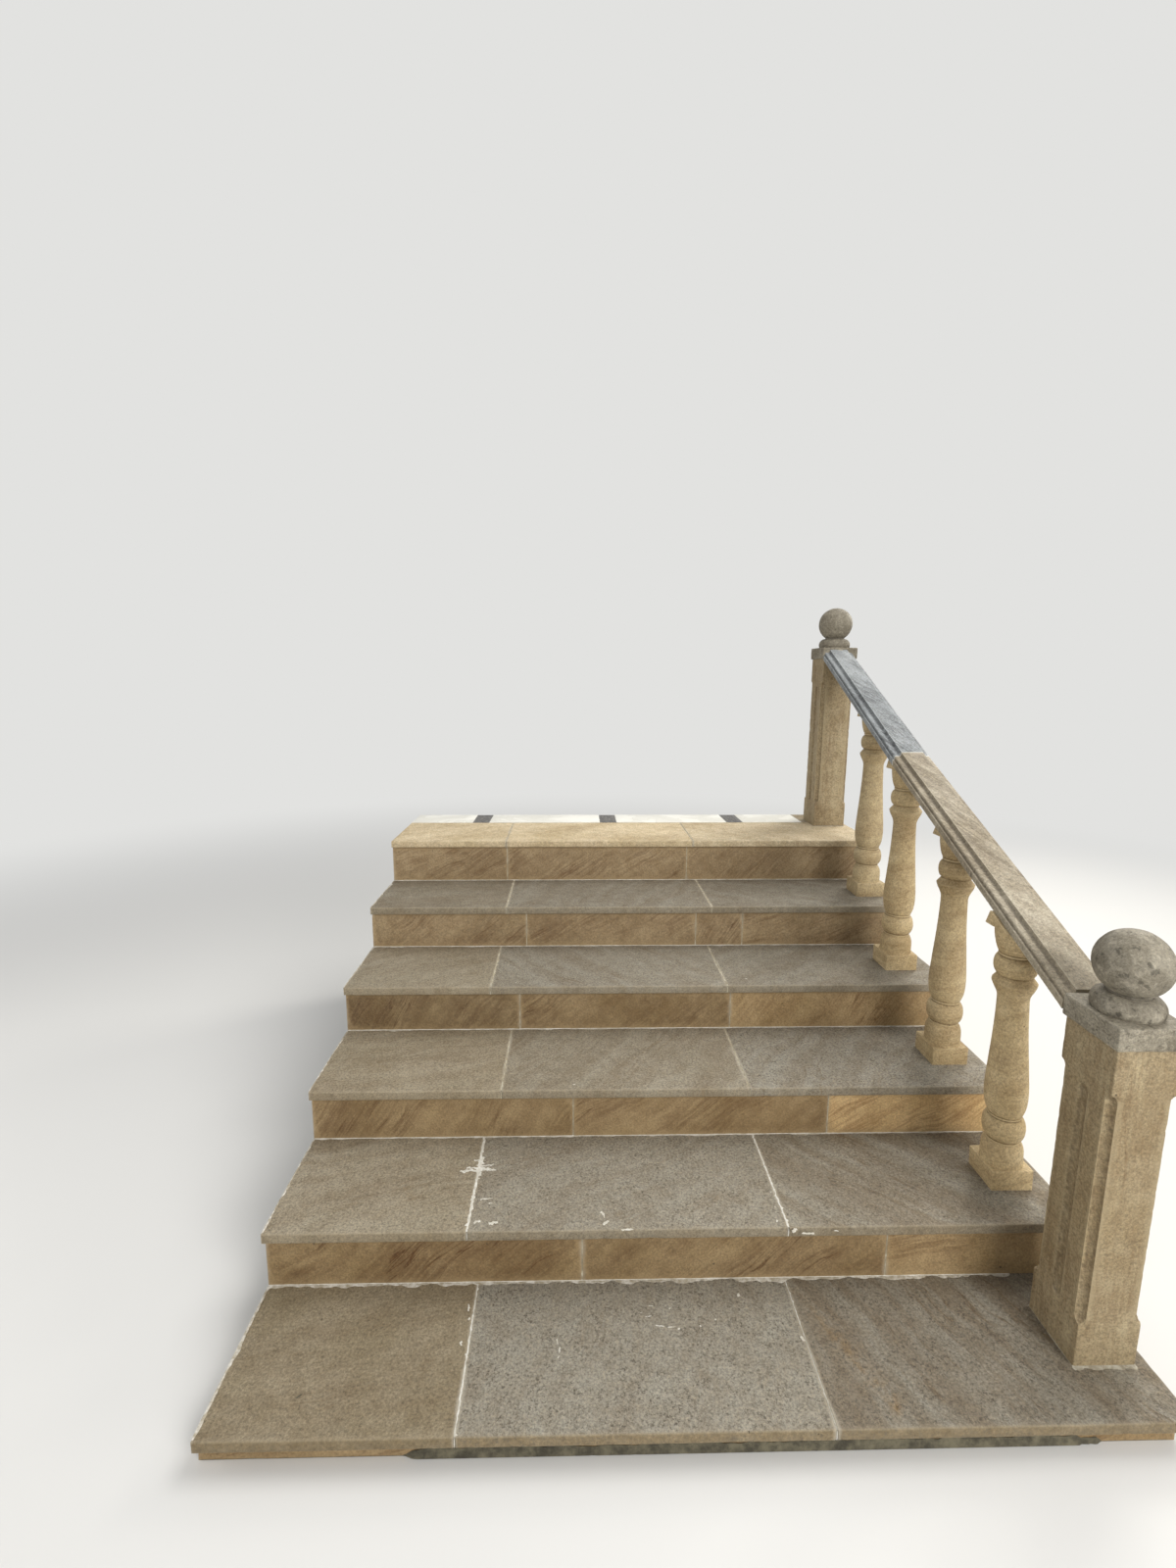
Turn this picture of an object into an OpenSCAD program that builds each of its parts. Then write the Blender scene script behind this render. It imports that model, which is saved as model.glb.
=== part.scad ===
// Outdoor stone steps: six sandstone treads on a stepped concrete core,
// with a turned balustrade along the open right-hand end.
// X runs across the flight, Y runs up it and Z is height. The origin is on the ground,
// under the middle of the flight. All sizes are millimetres.

/* [Flight] */
// Width of the treads, from the wall side to the open end
flight_w = 1870; // [1500:10:2400]
// Depth of an ordinary step, from nosing to nosing
going = 304; // [280:1:340]
// Depth of the lowest step, from nosing to nosing
first_going = 310; // [290:1:380]
// Height of an ordinary step
riser_h = 147.5; // [130:0.5:175]
// Height of the top step, up to the landing
top_riser_h = 160; // [130:1:180]
// Height of the lowest tread's top above the ground
bottom_h = 64; // [50:1:150]

/* [Stone slabs] */
// Thickness of a tread slab
slab_t = 24; // [20:1:30]
// How far a tread slab stands out over the riser below it
nosing = 20; // [10:1:30]
// How far the tread slabs stand out over the flank at the open end
end_overhang = 20; // [10:1:30]
// Radius of the eased front edges of a tread slab
slab_ease = 3; // [1:0.5:6]
// Thickness of a riser slab
riser_t = 25; // [18:1:35]
// Width of the grouted joints between slabs
joint_w = 5; // [3:0.5:8]
// How far the grout lies back from the stone
grout_recess = 1; // [0.5:0.5:3]
// Thickness of the mortar bed under the slabs
bed_t = 15; // [8:1:25]

/* [Landing] */
// Depth of the nosing slab along the landing's edge
edge_slab_d = 341; // [320:1:420]
// Depth of tiled landing behind the nosing slab
landing_d = 170; // [140:5:600]
// Thickness of the landing tiles
tile_t = 10; // [8:1:20]
// Width of a dark mosaic strip in the landing
strip_w = 70; // [40:1:120]
// Distance from the wall side to the middle of the first mosaic strip
strip_first = 298; // [150:1:400]
// Distance between the middles of two mosaic strips
strip_pitch = 552; // [350:1:580]
// Margin of the edge stone beside the upper newel
edge_stone_margin = 23; // [5:1:40]

/* [Flank] */
// Thickness of the facing slabs on the open flank
flank_t = 20; // [15:1:30]
// Longest facing slab on the flank
flank_slab_l = 620; // [400:10:900]
// Width of the joints between facing slabs
flank_joint = 4; // [2:0.5:8]

/* [Newels] */
// Width of the newel shaft, across the flight
newel_w = 129; // [110:1:160]
// Depth of the newel shaft, up the flight
newel_d = 137; // [110:1:160]
// Height of the newel shaft
newel_h = 696; // [600:1:850]
// Lean of the lower newel down the flight, in degrees
newel_lean = 0.8; // [0:0.1:1.5]
// Distance of the lower newel's centre line from the treads' open end
newel_inset = 95.5; // [95:0.5:160]
// How far the upper newel stands outside the line of the lower one
upper_newel_out = 11; // [0:1:20]
// How much taller the upper newel's shaft is
upper_newel_rise = 5; // [0:1:10]
// Lean of the upper newel away from the wall side, in degrees
upper_newel_lean = 0.4; // [0:0.1:1]
// Distance of the lower newel behind the lowest nosing
newel_setback = 110.5; // [40:0.5:140]
// Distance of the upper newel behind the top nosing
upper_setback = 264; // [220:1:280]
// Radius of the stopped coves along the newel's corners
cove_r = 14; // [8:1:24]
// Width of the stopped flute on the newel's side faces
flute_w = 26; // [12:1:30]
// Depth of that flute
flute_depth = 7; // [4:1:10]
// Plain height of the newel below the coves and the flute
foot_h = 100; // [60:1:150]
// Plain height of the newel above the coves
neck_h = 94; // [60:1:150]
// Thickness of the newel's cap
cap_t = 46; // [30:1:60]
// How far the cap stands out over the shaft
cap_over = 6; // [3:1:15]
// Radius of the ball finial
ball_r = 66.5; // [55:0.5:75]
// Height of the ball's middle above the cap
ball_z = 96.5; // [90:0.5:120]
// Radius of the round bun between the cap and the ball
finial_bun_r = 62; // [55:0.5:64]
// Radius of the sharp quirk between the bun and the ball
finial_quirk_r = 37; // [30:1:45]

/* [Balusters] */
// Width of a baluster's square plinth and square head
bal_w = 100; // [90:1:120]
// Height of the square plinth
bal_plinth_h = 50; // [35:1:60]
// Distance of the plinth behind its tread's nosing
bal_setback = 105; // [60:1:130]
// Radius of the drum that stands on the plinth
drum_r = 47; // [42:0.5:49]
// Height of the drum, up to the quirk over its rounded shoulder
drum_h = 60; // [50:1:75]
// Radius of the large ring over the drum
ring_r = 48.5; // [44:0.5:50]
// Height of that ring
ring_h = 65; // [50:1:75]
// Radius of the belly, where the shaft is widest
belly_r = 47.5; // [42:0.5:49]
// Height of the belly's widest place over the ring
belly_rise = 60; // [45:1:80]
// Radius of the shaft at its thinnest, under the cup
shaft_r = 34; // [28:0.5:38]
// Radius of the sharp rim of the cup at the top of the shaft
cup_r = 48.5; // [44:0.5:50]
// Height over which the shaft opens into the cup
cup_h = 44; // [30:1:55]
// Height of the slope from the cup's rim in to the quirk over it
cup_top_h = 17; // [10:1:24]
// Radius of the ring over the cup
collar_r = 46.5; // [42:0.5:50]
// Height of that ring
collar_h = 52; // [40:1:60]
// Height of the bell that opens under the square head
bell_h = 61; // [45:1:75]
// Radius in the sharp quirks between the turned parts
quirk_r = 35.5; // [32:0.5:39]
// Least height of the square head at the baluster's axis
head_h = 13; // [8:1:60]

/* [Handrail] */
// Width of the handrail at its foot
rail_w = 130; // [120:1:150]
// Width of the handrail's flat top
rail_top_w = 77; // [60:1:90]
// Thickness of the handrail, square to its slope
rail_t = 38; // [34:1:55]
// Height of the upright face at the foot of its moulding
rail_face_h = 20; // [15:1:23]
// Height of the rounded ledge under its flat top
rail_ledge_h = 32; // [29:0.5:33]
// Height of the handrail's underside over the foot of the lower cap
rail_lift = 11; // [0:1:20]
// How far the lower handrail lies on the wall side of the lower newel's line
rail_in = 7.5; // [0:0.5:10]
// Level length of the lower handrail stone
rail_lower_l = 793; // [500:1:1100]

/* [Hidden] */
steps = 6;
balusters = 4;

// Where the joints fall along each tread and each riser, as shares of the flight's width
tread_joints = [
    [0.256, 0.635], [0.245, 0.634], [0.271, 0.625],
    [0.238, 0.626], [0.250, 0.630], [0.235, 0.621]
];
riser_joints = [
    [0.330, 0.690], [0.384, 0.761], [0.373, 0.743],
    [0.285, 0.634], [0.286, 0.603, 0.691], [0.236, 0.610]
];

// How far each baluster stands off the lower newel's line, and its lean to the wall in degrees
baluster_offsets = [-10.5, -11, -17, 3.5];
baluster_leans = [1.5, 0, 0, 0];

sandstone = "#c9b184";
pale_stone = "#d2c29c";
grey_stone = "#b5a88f";
grout = "#cfc8ba";
concrete = "#8d8a84";
porcelain = "#d9d5ca";
dark_mosaic = "#57544f";

// Smoothness of round work, and how far a cutting solid passes what it cuts
round_fn = 64;
arc_steps = 6;
past = 400;

// Nosing line and top of each tread
function tread_y(i) = i == 1 ? 0 : first_going + (i - 2) * going;
function tread_z(i) =
    i == 0 ? 0 : bottom_h + (i - 1) * riser_h + (i == steps ? top_riser_h - riser_h : 0);

// Front of the concrete under a tread, back of a tread slab, and top of the mortar and concrete
function core_y(i) = tread_y(i) + nosing + riser_t;
function slab_back(i) = i < steps ? core_y(i + 1) : tread_y(i) + edge_slab_d;
function bed_z(i) = tread_z(i) - slab_t;
function core_z(i) = bed_z(i) - bed_t;

flight_d = tread_y(steps) + edge_slab_d + landing_d;
flank_x = flight_w - end_overhang;
core_w = flank_x - flank_t;
newel_x = flight_w - newel_inset;
newel_y = newel_setback;
upper_newel_x = newel_x + upper_newel_out;
upper_newel_y = tread_y(steps) + upper_setback;
edge_stone_x = upper_newel_x - newel_w / 2 - edge_stone_margin;
strips = [for (i = [0:2]) strip_first + i * strip_pitch];

// Line of the handrail's underside, from the leaning lower cap's back to the upper cap's front
rail_y0 = newel_y + newel_d / 2 + (newel_d / 2 + cap_over) * cos(newel_lean)
    - (newel_h + rail_lift) * sin(newel_lean);
rail_z0 = bottom_h + newel_h + rail_lift;
rail_y1 = upper_newel_y - cap_over;
rail_z1 = tread_z(steps) + newel_h;
rail_slope = (rail_z1 - rail_z0) / (rail_y1 - rail_y0);
rail_angle = atan(rail_slope);
function rail_z(y) = rail_z0 + (y - rail_y0) * rail_slope;

// The lower handrail runs straight up; the upper one swings out from their joint to its newel
rail_x = newel_x - rail_in;
rail_joint_y = rail_y0 + rail_lower_l;
rail_swing = atan((upper_newel_x - rail_x) * cos(rail_angle) / (rail_y1 - rail_joint_y));

// Balusters stand on the treads from the second up, and are turned to one pattern
function baluster_tread(i) = i + 1;
function baluster_y(i) = tread_y(baluster_tread(i)) + bal_setback + bal_w / 2;
function baluster_room(i) = rail_z(baluster_y(i)) - tread_z(baluster_tread(i));
turned_top = min([for (i = [1:balusters]) baluster_room(i)]) - head_h;

// Points of an arc from angle a0 to a1 about (cx, cy)
function arc(cx, cy, r, a0, a1, n = arc_steps) =
    [for (i = [0:n]) let (a = a0 + (a1 - a0) * i / n) [cx + r * cos(a), cy + r * sin(a)]];

// Points of a cubic curve from p0 to p3, without its first point
function curve(p0, p1, p2, p3, n = 10) =
    [for (i = [1:n]) let (t = i / n, u = 1 - t)
        u * u * u * p0 + 3 * u * u * t * p1 + 3 * u * t * t * p2 + t * t * t * p3];

// Inside shares of a run of slabs that the joints divide
function piece_x(joints, k, run) =
    [k == 0 ? 0 : joints[k - 1] * flight_w + joint_w / 2,
     k == len(joints) ? run : joints[k] * flight_w - joint_w / 2];

// Moves the flight from its front left corner to its own frame
module in_frame() translate([-flight_w / 2, -flight_d / 2, 0]) children();

// Extrudes an outline drawn in (y, z) along X
module along_x(x0, x1) translate([x0, 0, 0]) rotate([90, 0, 90]) linear_extrude(x1 - x0) children();

// Extrudes an outline drawn in (x, z) along Y
module along_y(y0, y1) translate([0, y1, 0]) rotate([90, 0, 0]) linear_extrude(y1 - y0) children();

// Outline of a tread slab: both front edges are eased
module slab_outline(y0, y1, z_top) {
    polygon(concat(
        arc(y0 + slab_ease, z_top - slab_ease, slab_ease, 90, 180),
        arc(y0 + slab_ease, z_top - slab_t + slab_ease, slab_ease, 180, 270),
        [[y1, z_top - slab_t], [y1, z_top]]
    ));
}

// One tread of three slabs, with room between them for the grout
module tread(i) color(i == steps ? pale_stone : sandstone) in_frame() {
    joints = tread_joints[i - 1];
    for (k = [0:len(joints)]) {
        x = piece_x(joints, k, flight_w);
        along_x(x[0], x[1]) slab_outline(tread_y(i), slab_back(i), tread_z(i));
    }
}

// The riser slabs under a tread: they stand on the tread below
module riser(i) color(sandstone) in_frame() {
    joints = riser_joints[i - 1];
    for (k = [0:len(joints)]) {
        x = piece_x(joints, k, flank_x);
        translate([x[0], tread_y(i) + nosing, tread_z(i - 1)])
            cube([x[1] - x[0], riser_t, bed_z(i) - tread_z(i - 1)]);
    }
}

// Stepped concrete that carries the whole flight and the landing
module core() color(concrete) in_frame() {
    along_x(0, core_w) polygon(concat(
        [[core_y(1), 0]],
        [for (i = [1:steps]) each [[core_y(i), core_z(i)], [slab_back(i), core_z(i)]]],
        [[flight_d, core_z(steps)], [flight_d, 0]]
    ));
}

// Mortar under one tread, with the grout of its joints and of the riser joints below it
module bed(i) {
    translate([0, core_y(i), core_z(i)]) cube([core_w, slab_back(i) - core_y(i), bed_t]);
    for (s = tread_joints[i - 1])
        translate([s * flight_w - joint_w / 2, tread_y(i) + slab_ease, bed_z(i)])
            cube([joint_w, slab_back(i) - tread_y(i) - slab_ease, slab_t - grout_recess]);
    for (s = riser_joints[i - 1])
        translate([s * flight_w - joint_w / 2, tread_y(i) + nosing + grout_recess, tread_z(i - 1)])
            cube([joint_w, riser_t - grout_recess, bed_z(i) - tread_z(i - 1)]);
}

module bedding_mortar() color(grout) in_frame() {
    for (i = [1:steps]) bed(i);
    translate([0, slab_back(steps), core_z(steps)]) {
        cube([core_w, landing_d, bed_t]);
        cube([edge_stone_x, landing_d, bed_t + slab_t - tile_t]);
    }
}

// Rows of facing slabs on the open flank, one for each step, with staggered joints
function course_y(i) = core_y(i);
function course_z(i) = i == 0 ? 0 : bed_z(i);
function course_count(i) = ceil((flight_d - course_y(i)) / flank_slab_l);
function course_pitch(i) = (flight_d - course_y(i)) / course_count(i);

module flank_slab(i, k) {
    y0 = course_y(i) + k * course_pitch(i);
    gap_front = k == 0 ? 0 : flank_joint;
    gap_foot = i == 1 ? 0 : flank_joint;
    translate([core_w, y0 + gap_front, course_z(i - 1) + gap_foot])
        cube([flank_t, course_pitch(i) - gap_front, course_z(i) - course_z(i - 1) - gap_foot]);
}

module flank_course(i) color(sandstone) in_frame()
    for (k = [0:course_count(i) - 1]) flank_slab(i, k);

// Mortar in the joints of the flank's facing
module flank_mortar() color(grout) in_frame() {
    difference() {
        along_x(core_w, flank_x - grout_recess) polygon(concat(
            [[core_y(1), 0]],
            [for (i = [1:steps]) each [[core_y(i), bed_z(i)], [slab_back(i), bed_z(i)]]],
            [[flight_d, bed_z(steps)], [flight_d, 0]]
        ));
        for (i = [1:steps]) for (k = [0:course_count(i) - 1]) flank_slab(i, k);
    }
}

// Tiled landing: pale tiles between dark mosaic strips, and an edge stone at the open side
module landing_piece(x0, x1, t) {
    translate([x0, slab_back(steps) + flank_joint, tread_z(steps) - t])
        cube([x1 - x0, landing_d - flank_joint, t]);
}

module landing_tiles() color(porcelain) in_frame() {
    edges = [for (x = strips) each [x - strip_w / 2, x + strip_w / 2]];
    starts = [0, edges[1], edges[3], edges[5]];
    ends = [edges[0], edges[2], edges[4], edge_stone_x];
    for (k = [0:3])
        landing_piece(starts[k] + (k == 0 ? 0 : grout_recess), ends[k] - grout_recess, tile_t);
}

module landing_mosaic() color(dark_mosaic) in_frame()
    for (x = strips) landing_piece(x - strip_w / 2, x + strip_w / 2, tile_t);

module landing_edge_stone() color(pale_stone) in_frame()
    landing_piece(edge_stone_x, flight_w, slab_t);

// A round-ended groove along Z, from z0 to z1
module stopped_groove(r, z0, z1) {
    translate([0, 0, z0 + r]) cylinder(r = r, h = z1 - z0 - 2 * r, $fn = round_fn);
    for (z = [z0 + r, z1 - r]) translate([0, 0, z]) sphere(r = r, $fn = round_fn);
}

// Newel shaft of height h with stopped coves on its corners and a stopped flute on each side
// face. It reaches below its foot, because it leans and is then cut level.
module newel_shaft(h) {
    half_w = newel_w / 2;
    half_d = newel_d / 2;
    flute_r = (flute_w * flute_w / 4 + flute_depth * flute_depth) / (2 * flute_depth);
    groove_top = h - neck_h;
    difference() {
        translate([-half_w, -half_d, -bed_t]) cube([newel_w, newel_d, h + bed_t]);
        for (sx = [-1, 1]) for (sy = [-1, 1])
            translate([sx * half_w, sy * half_d, 0]) stopped_groove(cove_r, foot_h, groove_top);
        for (sx = [-1, 1])
            translate([sx * (half_w + flute_r - flute_depth), 0, 0])
                stopped_groove(flute_r, foot_h, groove_top - cove_r);
    }
}

// Nearly square cap with eased edges
module newel_cap() {
    half_w = newel_w / 2 + cap_over;
    half_d = newel_d / 2 + cap_over;
    ease = slab_ease;
    module eased(half) polygon([
        [-half, ease], [-half, cap_t - ease], [-half + ease, cap_t], [half - ease, cap_t],
        [half, cap_t - ease], [half, ease], [half - ease, 0], [-half + ease, 0]
    ]);
    intersection() {
        along_x(-half_w, half_w) eased(half_d);
        along_y(-half_d, half_d) eased(half_w);
    }
}

// Ball finial on a round bun, turned as one piece, with a narrow quirk between the two
module newel_ball() {
    quirk_z = ball_z - sqrt(ball_r * ball_r - finial_quirk_r * finial_quirk_r);
    quirk_angle = acos(finial_quirk_r / ball_r);
    quirk_w = 4;
    foot_angle = 30;
    bun_h = quirk_z - quirk_w;
    round_h = bun_h / (1 + sin(foot_angle));
    round_w = finial_bun_r - finial_quirk_r;
    rotate_extrude($fn = round_fn) polygon(concat(
        [[0, 0]],
        [for (i = [0:12]) let (a = -foot_angle + (90 + foot_angle) * i / 12)
            [finial_quirk_r + round_w * cos(a), bun_h - round_h + round_h * sin(a)]],
        arc(0, ball_z, ball_r, -quirk_angle, 90, 20)
    ));
}

// The lower newel leans a little down the flight, and the upper one away from the wall side
module at_lower_newel(z) in_frame() translate([newel_x, newel_y + newel_d / 2, bottom_h])
    rotate([newel_lean, 0, 0]) translate([0, 0, z]) children();
module at_upper_newel(z) in_frame()
    translate([upper_newel_x, upper_newel_y + newel_d / 2, tread_z(steps)])
        rotate([0, upper_newel_lean, 0]) translate([0, 0, z]) children();

// Cuts a leaning newel level on its tread, whose top is at height z
module level_foot(z) difference() {
    children();
    in_frame() translate([0, 0, z - past]) cube([flight_w, flight_d, past]);
}

upper_newel_h = newel_h + upper_newel_rise;
module lower_newel_shaft() color(sandstone) level_foot(bottom_h) at_lower_newel(0) newel_shaft(newel_h);
module lower_newel_cap() color(grey_stone) at_lower_newel(newel_h) newel_cap();
module lower_newel_ball() color(grey_stone) at_lower_newel(newel_h + cap_t) newel_ball();
module upper_newel_shaft() color(sandstone)
    level_foot(tread_z(steps)) at_upper_newel(0) newel_shaft(upper_newel_h);
module upper_newel_cap() color(sandstone) at_upper_newel(upper_newel_h) newel_cap();
module upper_newel_ball() color(sandstone) at_upper_newel(upper_newel_h + cap_t) newel_ball();

// Points of a ring's rounded outline between heights z0 and z1, out to radius r
function ring_round(z0, z1, r, n = 12) =
    [for (i = [0:n]) let (a = 180 * i / n - 90)
        [quirk_r + (r - quirk_r) * cos(a), (z0 + z1) / 2 + (z1 - z0) / 2 * sin(a)]];

// Turned outline of a baluster, as (radius, height): drum, large ring, belly and shaft, cup,
// ring, and the bell that opens under the square head. Each part starts at its own height.
// It runs a little into the plinth and the head, so that the three are one stone.
function baluster_outline() =
    let (
        run_in = 2,
        slack = 1,
        drum_z = bal_plinth_h,
        ring_z = drum_z + drum_h,
        swell_z = ring_z + ring_h,
        belly_z = swell_z + belly_rise,
        bell_z = turned_top - bell_h,
        collar_z = bell_z - collar_h,
        rim_z = collar_z - cup_top_h,
        cup_z = rim_z - cup_h,
        shaft_l = cup_z - belly_z,
        bell_r = bal_w / 2 - slack
    )
    concat(
        [[0, drum_z - run_in], [drum_r, drum_z - run_in]],
        curve([drum_r, drum_z + drum_h / 2], [drum_r, ring_z - drum_h / 5],
              [drum_r - drum_h / 20, ring_z], [quirk_r, ring_z]),
        ring_round(ring_z, swell_z, ring_r),
        curve([quirk_r, swell_z], [belly_r - slack, swell_z + belly_rise / 6],
              [belly_r, swell_z + belly_rise / 2], [belly_r, belly_z]),
        curve([belly_r, belly_z], [belly_r, belly_z + shaft_l / 6],
              [shaft_r + slack, cup_z - shaft_l * 3 / 7], [shaft_r, cup_z]),
        curve([shaft_r, cup_z], [shaft_r, cup_z + cup_h * 2 / 5],
              [cup_r - cup_h / 12, cup_z + cup_h * 3 / 5], [cup_r, rim_z]),
        ring_round(collar_z, bell_z, collar_r),
        curve([quirk_r, bell_z], [quirk_r + bell_h / 12, bell_z + bell_h / 6],
              [bell_r - slack, turned_top - bell_h / 2], [bell_r, turned_top]),
        [[bell_r, turned_top + run_in], [0, turned_top + run_in]]
    );

// Square plinth, turned shaft and square head, leaning as one stone and cut level on the
// tread. The head is cut to the slope of the handrail, and its upper end square to it.
module baluster(i) color(sandstone) in_frame()
    translate([newel_x + baluster_offsets[i - 1], baluster_y(i), tread_z(baluster_tread(i))])
        difference() {
            rotate([0, -baluster_leans[i - 1], 0]) union() {
                translate([-bal_w / 2, -bal_w / 2, -bed_t]) cube([bal_w, bal_w, bal_plinth_h + bed_t]);
                rotate_extrude($fn = round_fn) polygon(baluster_outline());
                translate([-bal_w / 2, -bal_w / 2, turned_top])
                    cube([bal_w, bal_w, baluster_room(i) - turned_top + bal_w]);
            }
            translate([-bal_w, -bal_w, -past]) cube([2 * bal_w, 2 * bal_w, past]);
            translate([0, 0, baluster_room(i)]) rotate([rail_angle, 0, 0])
                translate([-bal_w, -past, 0]) cube([2 * bal_w, 2 * past, past]);
            translate([0, bal_w / 2, turned_top]) rotate([rail_angle, 0, 0])
                translate([-bal_w, 0, -past / 2]) cube([2 * bal_w, past, past]);
        }

// Half of the handrail's cross-section, square to its slope: upright face, narrow fillet,
// rounded ledge, and a cove up to the sharp edge of the flat top
function rail_half() =
    let (
        foot = rail_w / 2,
        top = rail_top_w / 2,
        ease = 1,
        fillet = 5,
        ledge_r = 5,
        cove_h = rail_t - rail_ledge_h
    )
    concat(
        [[foot, 0], [foot, rail_face_h - ease], [foot - ease, rail_face_h], [foot - fillet, rail_face_h]],
        arc(foot - fillet - ledge_r, rail_ledge_h - ledge_r, ledge_r, 0, 90),
        arc(top + cove_h, rail_t, cove_h, 270, 180)
    );

module rail_outline() {
    half = rail_half();
    n = len(half);
    polygon(concat(half, [for (i = [1:n]) [-half[n - i][0], half[n - i][1]]]));
}

// A length of handrail between two upright cuts, which swings out in its own sloping plane
module rail_stone(y0, y1, swing) intersection() {
    translate([rail_x, rail_joint_y, rail_z(rail_joint_y)]) rotate([rail_angle, 0, 0])
        rotate([0, 0, -swing]) along_y(rail_y0 - rail_y1 - past, rail_y1 - rail_y0 + past) rail_outline();
    translate([rail_x - rail_w, y0, 0]) cube([2 * rail_w, y1 - y0, rail_z1 + past]);
}

// The lower end is cut along the leaning cap's back face
module handrail_lower() color(sandstone) difference() {
    in_frame() rail_stone(rail_y0 - cap_over, rail_joint_y - joint_w / 4, 0);
    at_lower_newel(newel_h) translate([-rail_w, -past, -past])
        cube([2 * rail_w, past + newel_d / 2 + cap_over, 2 * past]);
}
module handrail_upper() color(grey_stone) in_frame()
    rail_stone(rail_joint_y + joint_w / 4, rail_y1, rail_swing);

core();
bedding_mortar();
riser(1);  // plinth_course
for (i = [1:steps]) tread(i);
for (i = [2:steps]) riser(i);
for (i = [1:steps]) flank_course(i);
flank_mortar();
landing_tiles();
landing_mosaic();
landing_edge_stone();
lower_newel_shaft();
lower_newel_cap();
lower_newel_ball();
upper_newel_shaft();
upper_newel_cap();
upper_newel_ball();
for (i = [1:balusters]) baluster(i);
handrail_lower();
handrail_upper();
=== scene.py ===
# %% [markdown]
# Outdoor stone steps, dressed in Blender.
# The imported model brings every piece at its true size: concrete core, sandstone treads and
# risers, flank facing, newels, balusters and handrail. This script never resizes them. It gives
# each piece its finish, and models finer pieces where the real ones show worn arrises, turned
# mouldings or smeared grout. Everything is in metres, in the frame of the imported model:
# X runs across the flight, Y up it, and Z is height above the ground.

# %% Load the frame
import math

import bmesh
import bpy
from mathutils import Matrix, Vector, noise


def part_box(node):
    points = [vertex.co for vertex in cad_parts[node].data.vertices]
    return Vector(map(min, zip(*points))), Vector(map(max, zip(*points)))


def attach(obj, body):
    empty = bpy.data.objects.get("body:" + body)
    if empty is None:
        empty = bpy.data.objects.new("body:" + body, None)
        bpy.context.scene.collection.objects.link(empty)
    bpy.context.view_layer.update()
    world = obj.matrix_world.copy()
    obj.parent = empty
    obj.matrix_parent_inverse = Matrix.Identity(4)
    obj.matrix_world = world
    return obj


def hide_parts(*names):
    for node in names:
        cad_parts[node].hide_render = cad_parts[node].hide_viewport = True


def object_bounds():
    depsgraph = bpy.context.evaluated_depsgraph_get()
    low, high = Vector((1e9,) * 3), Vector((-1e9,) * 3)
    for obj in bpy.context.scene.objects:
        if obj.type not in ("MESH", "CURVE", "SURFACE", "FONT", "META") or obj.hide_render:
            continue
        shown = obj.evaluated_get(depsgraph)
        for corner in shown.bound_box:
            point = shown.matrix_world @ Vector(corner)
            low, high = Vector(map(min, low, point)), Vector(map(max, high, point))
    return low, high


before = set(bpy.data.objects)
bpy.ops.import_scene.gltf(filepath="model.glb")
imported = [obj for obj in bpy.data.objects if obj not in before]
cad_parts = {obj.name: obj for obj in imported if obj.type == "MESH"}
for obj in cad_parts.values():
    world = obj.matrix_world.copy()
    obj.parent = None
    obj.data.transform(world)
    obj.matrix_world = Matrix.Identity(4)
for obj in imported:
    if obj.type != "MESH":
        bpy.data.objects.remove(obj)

cad_low, cad_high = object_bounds()
MM = 0.001


def at(x, y, z):
    """A place in millimetres, counted from the left end of the bottom nosing and the ground."""
    return Vector((cad_low.x + x * MM, cad_low.y + y * MM, z * MM))


print("CAD box", [round(v, 3) for v in (*cad_low, *cad_high)])

# %% [markdown]
# The camera stands where the photograph was taken: a little left of the middle of the flight,
# one metre before it, with a wide lens held almost level. The lens is worked out from the
# picture's long side, because that is the side Blender's sensor width belongs to here.

# %% Camera
PICTURE_LONG_SIDE = 1600
FOCAL_LENGTH_PX = 705.5
CAMERA_YAW, CAMERA_PITCH, CAMERA_ROLL = -1.252, -8.948, -0.196

camera_data = bpy.data.cameras.new("camera")
camera = bpy.data.objects.new("camera", camera_data)
bpy.context.scene.collection.objects.link(camera)
camera_data.sensor_width = 36.0
camera_data.lens = camera_data.sensor_width * FOCAL_LENGTH_PX / PICTURE_LONG_SIDE
camera_data.clip_start = 0.05
eye = at(697, -1070, 1446)
aimed = (
    Matrix.Rotation(math.radians(CAMERA_YAW), 4, "Z")
    @ Matrix.Rotation(math.radians(CAMERA_PITCH), 4, "X")
    @ Matrix.Rotation(math.radians(CAMERA_ROLL), 4, "Y")
)
camera.matrix_world = Matrix.Translation(eye) @ aimed @ Matrix.Rotation(math.radians(90), 4, "X")
bpy.context.scene.camera = camera
print("camera at", tuple(round(v, 3) for v in eye), "lens", round(camera_data.lens, 2), "mm")

# %% [markdown]
# Shader trees are easier to read when a node and its wires are one call. `fill` sets a node's
# sockets, from plain values or from other sockets, and `put` adds a node and fills it. The other
# helpers name the few kinds of node that come up again and again: a mix of two colours, a soft
# step, a noise, a noise drawn out into streaks, and a bump.

# %% Small helpers for shader trees
def fill(tree, made, inputs):
    """Fills a node's sockets with values or wires."""
    for key, value in inputs.items():
        if isinstance(value, bpy.types.NodeSocket):
            tree.links.new(value, made.inputs[key])
        else:
            made.inputs[key].default_value = value


def put(tree, kind, inputs=None, **settings):
    """Adds a shader node, sets its settings and fills its sockets."""
    made = tree.nodes.new("ShaderNode" + kind)
    for key, value in settings.items():
        setattr(made, key, value)
    fill(tree, made, inputs or {})
    return made


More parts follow.
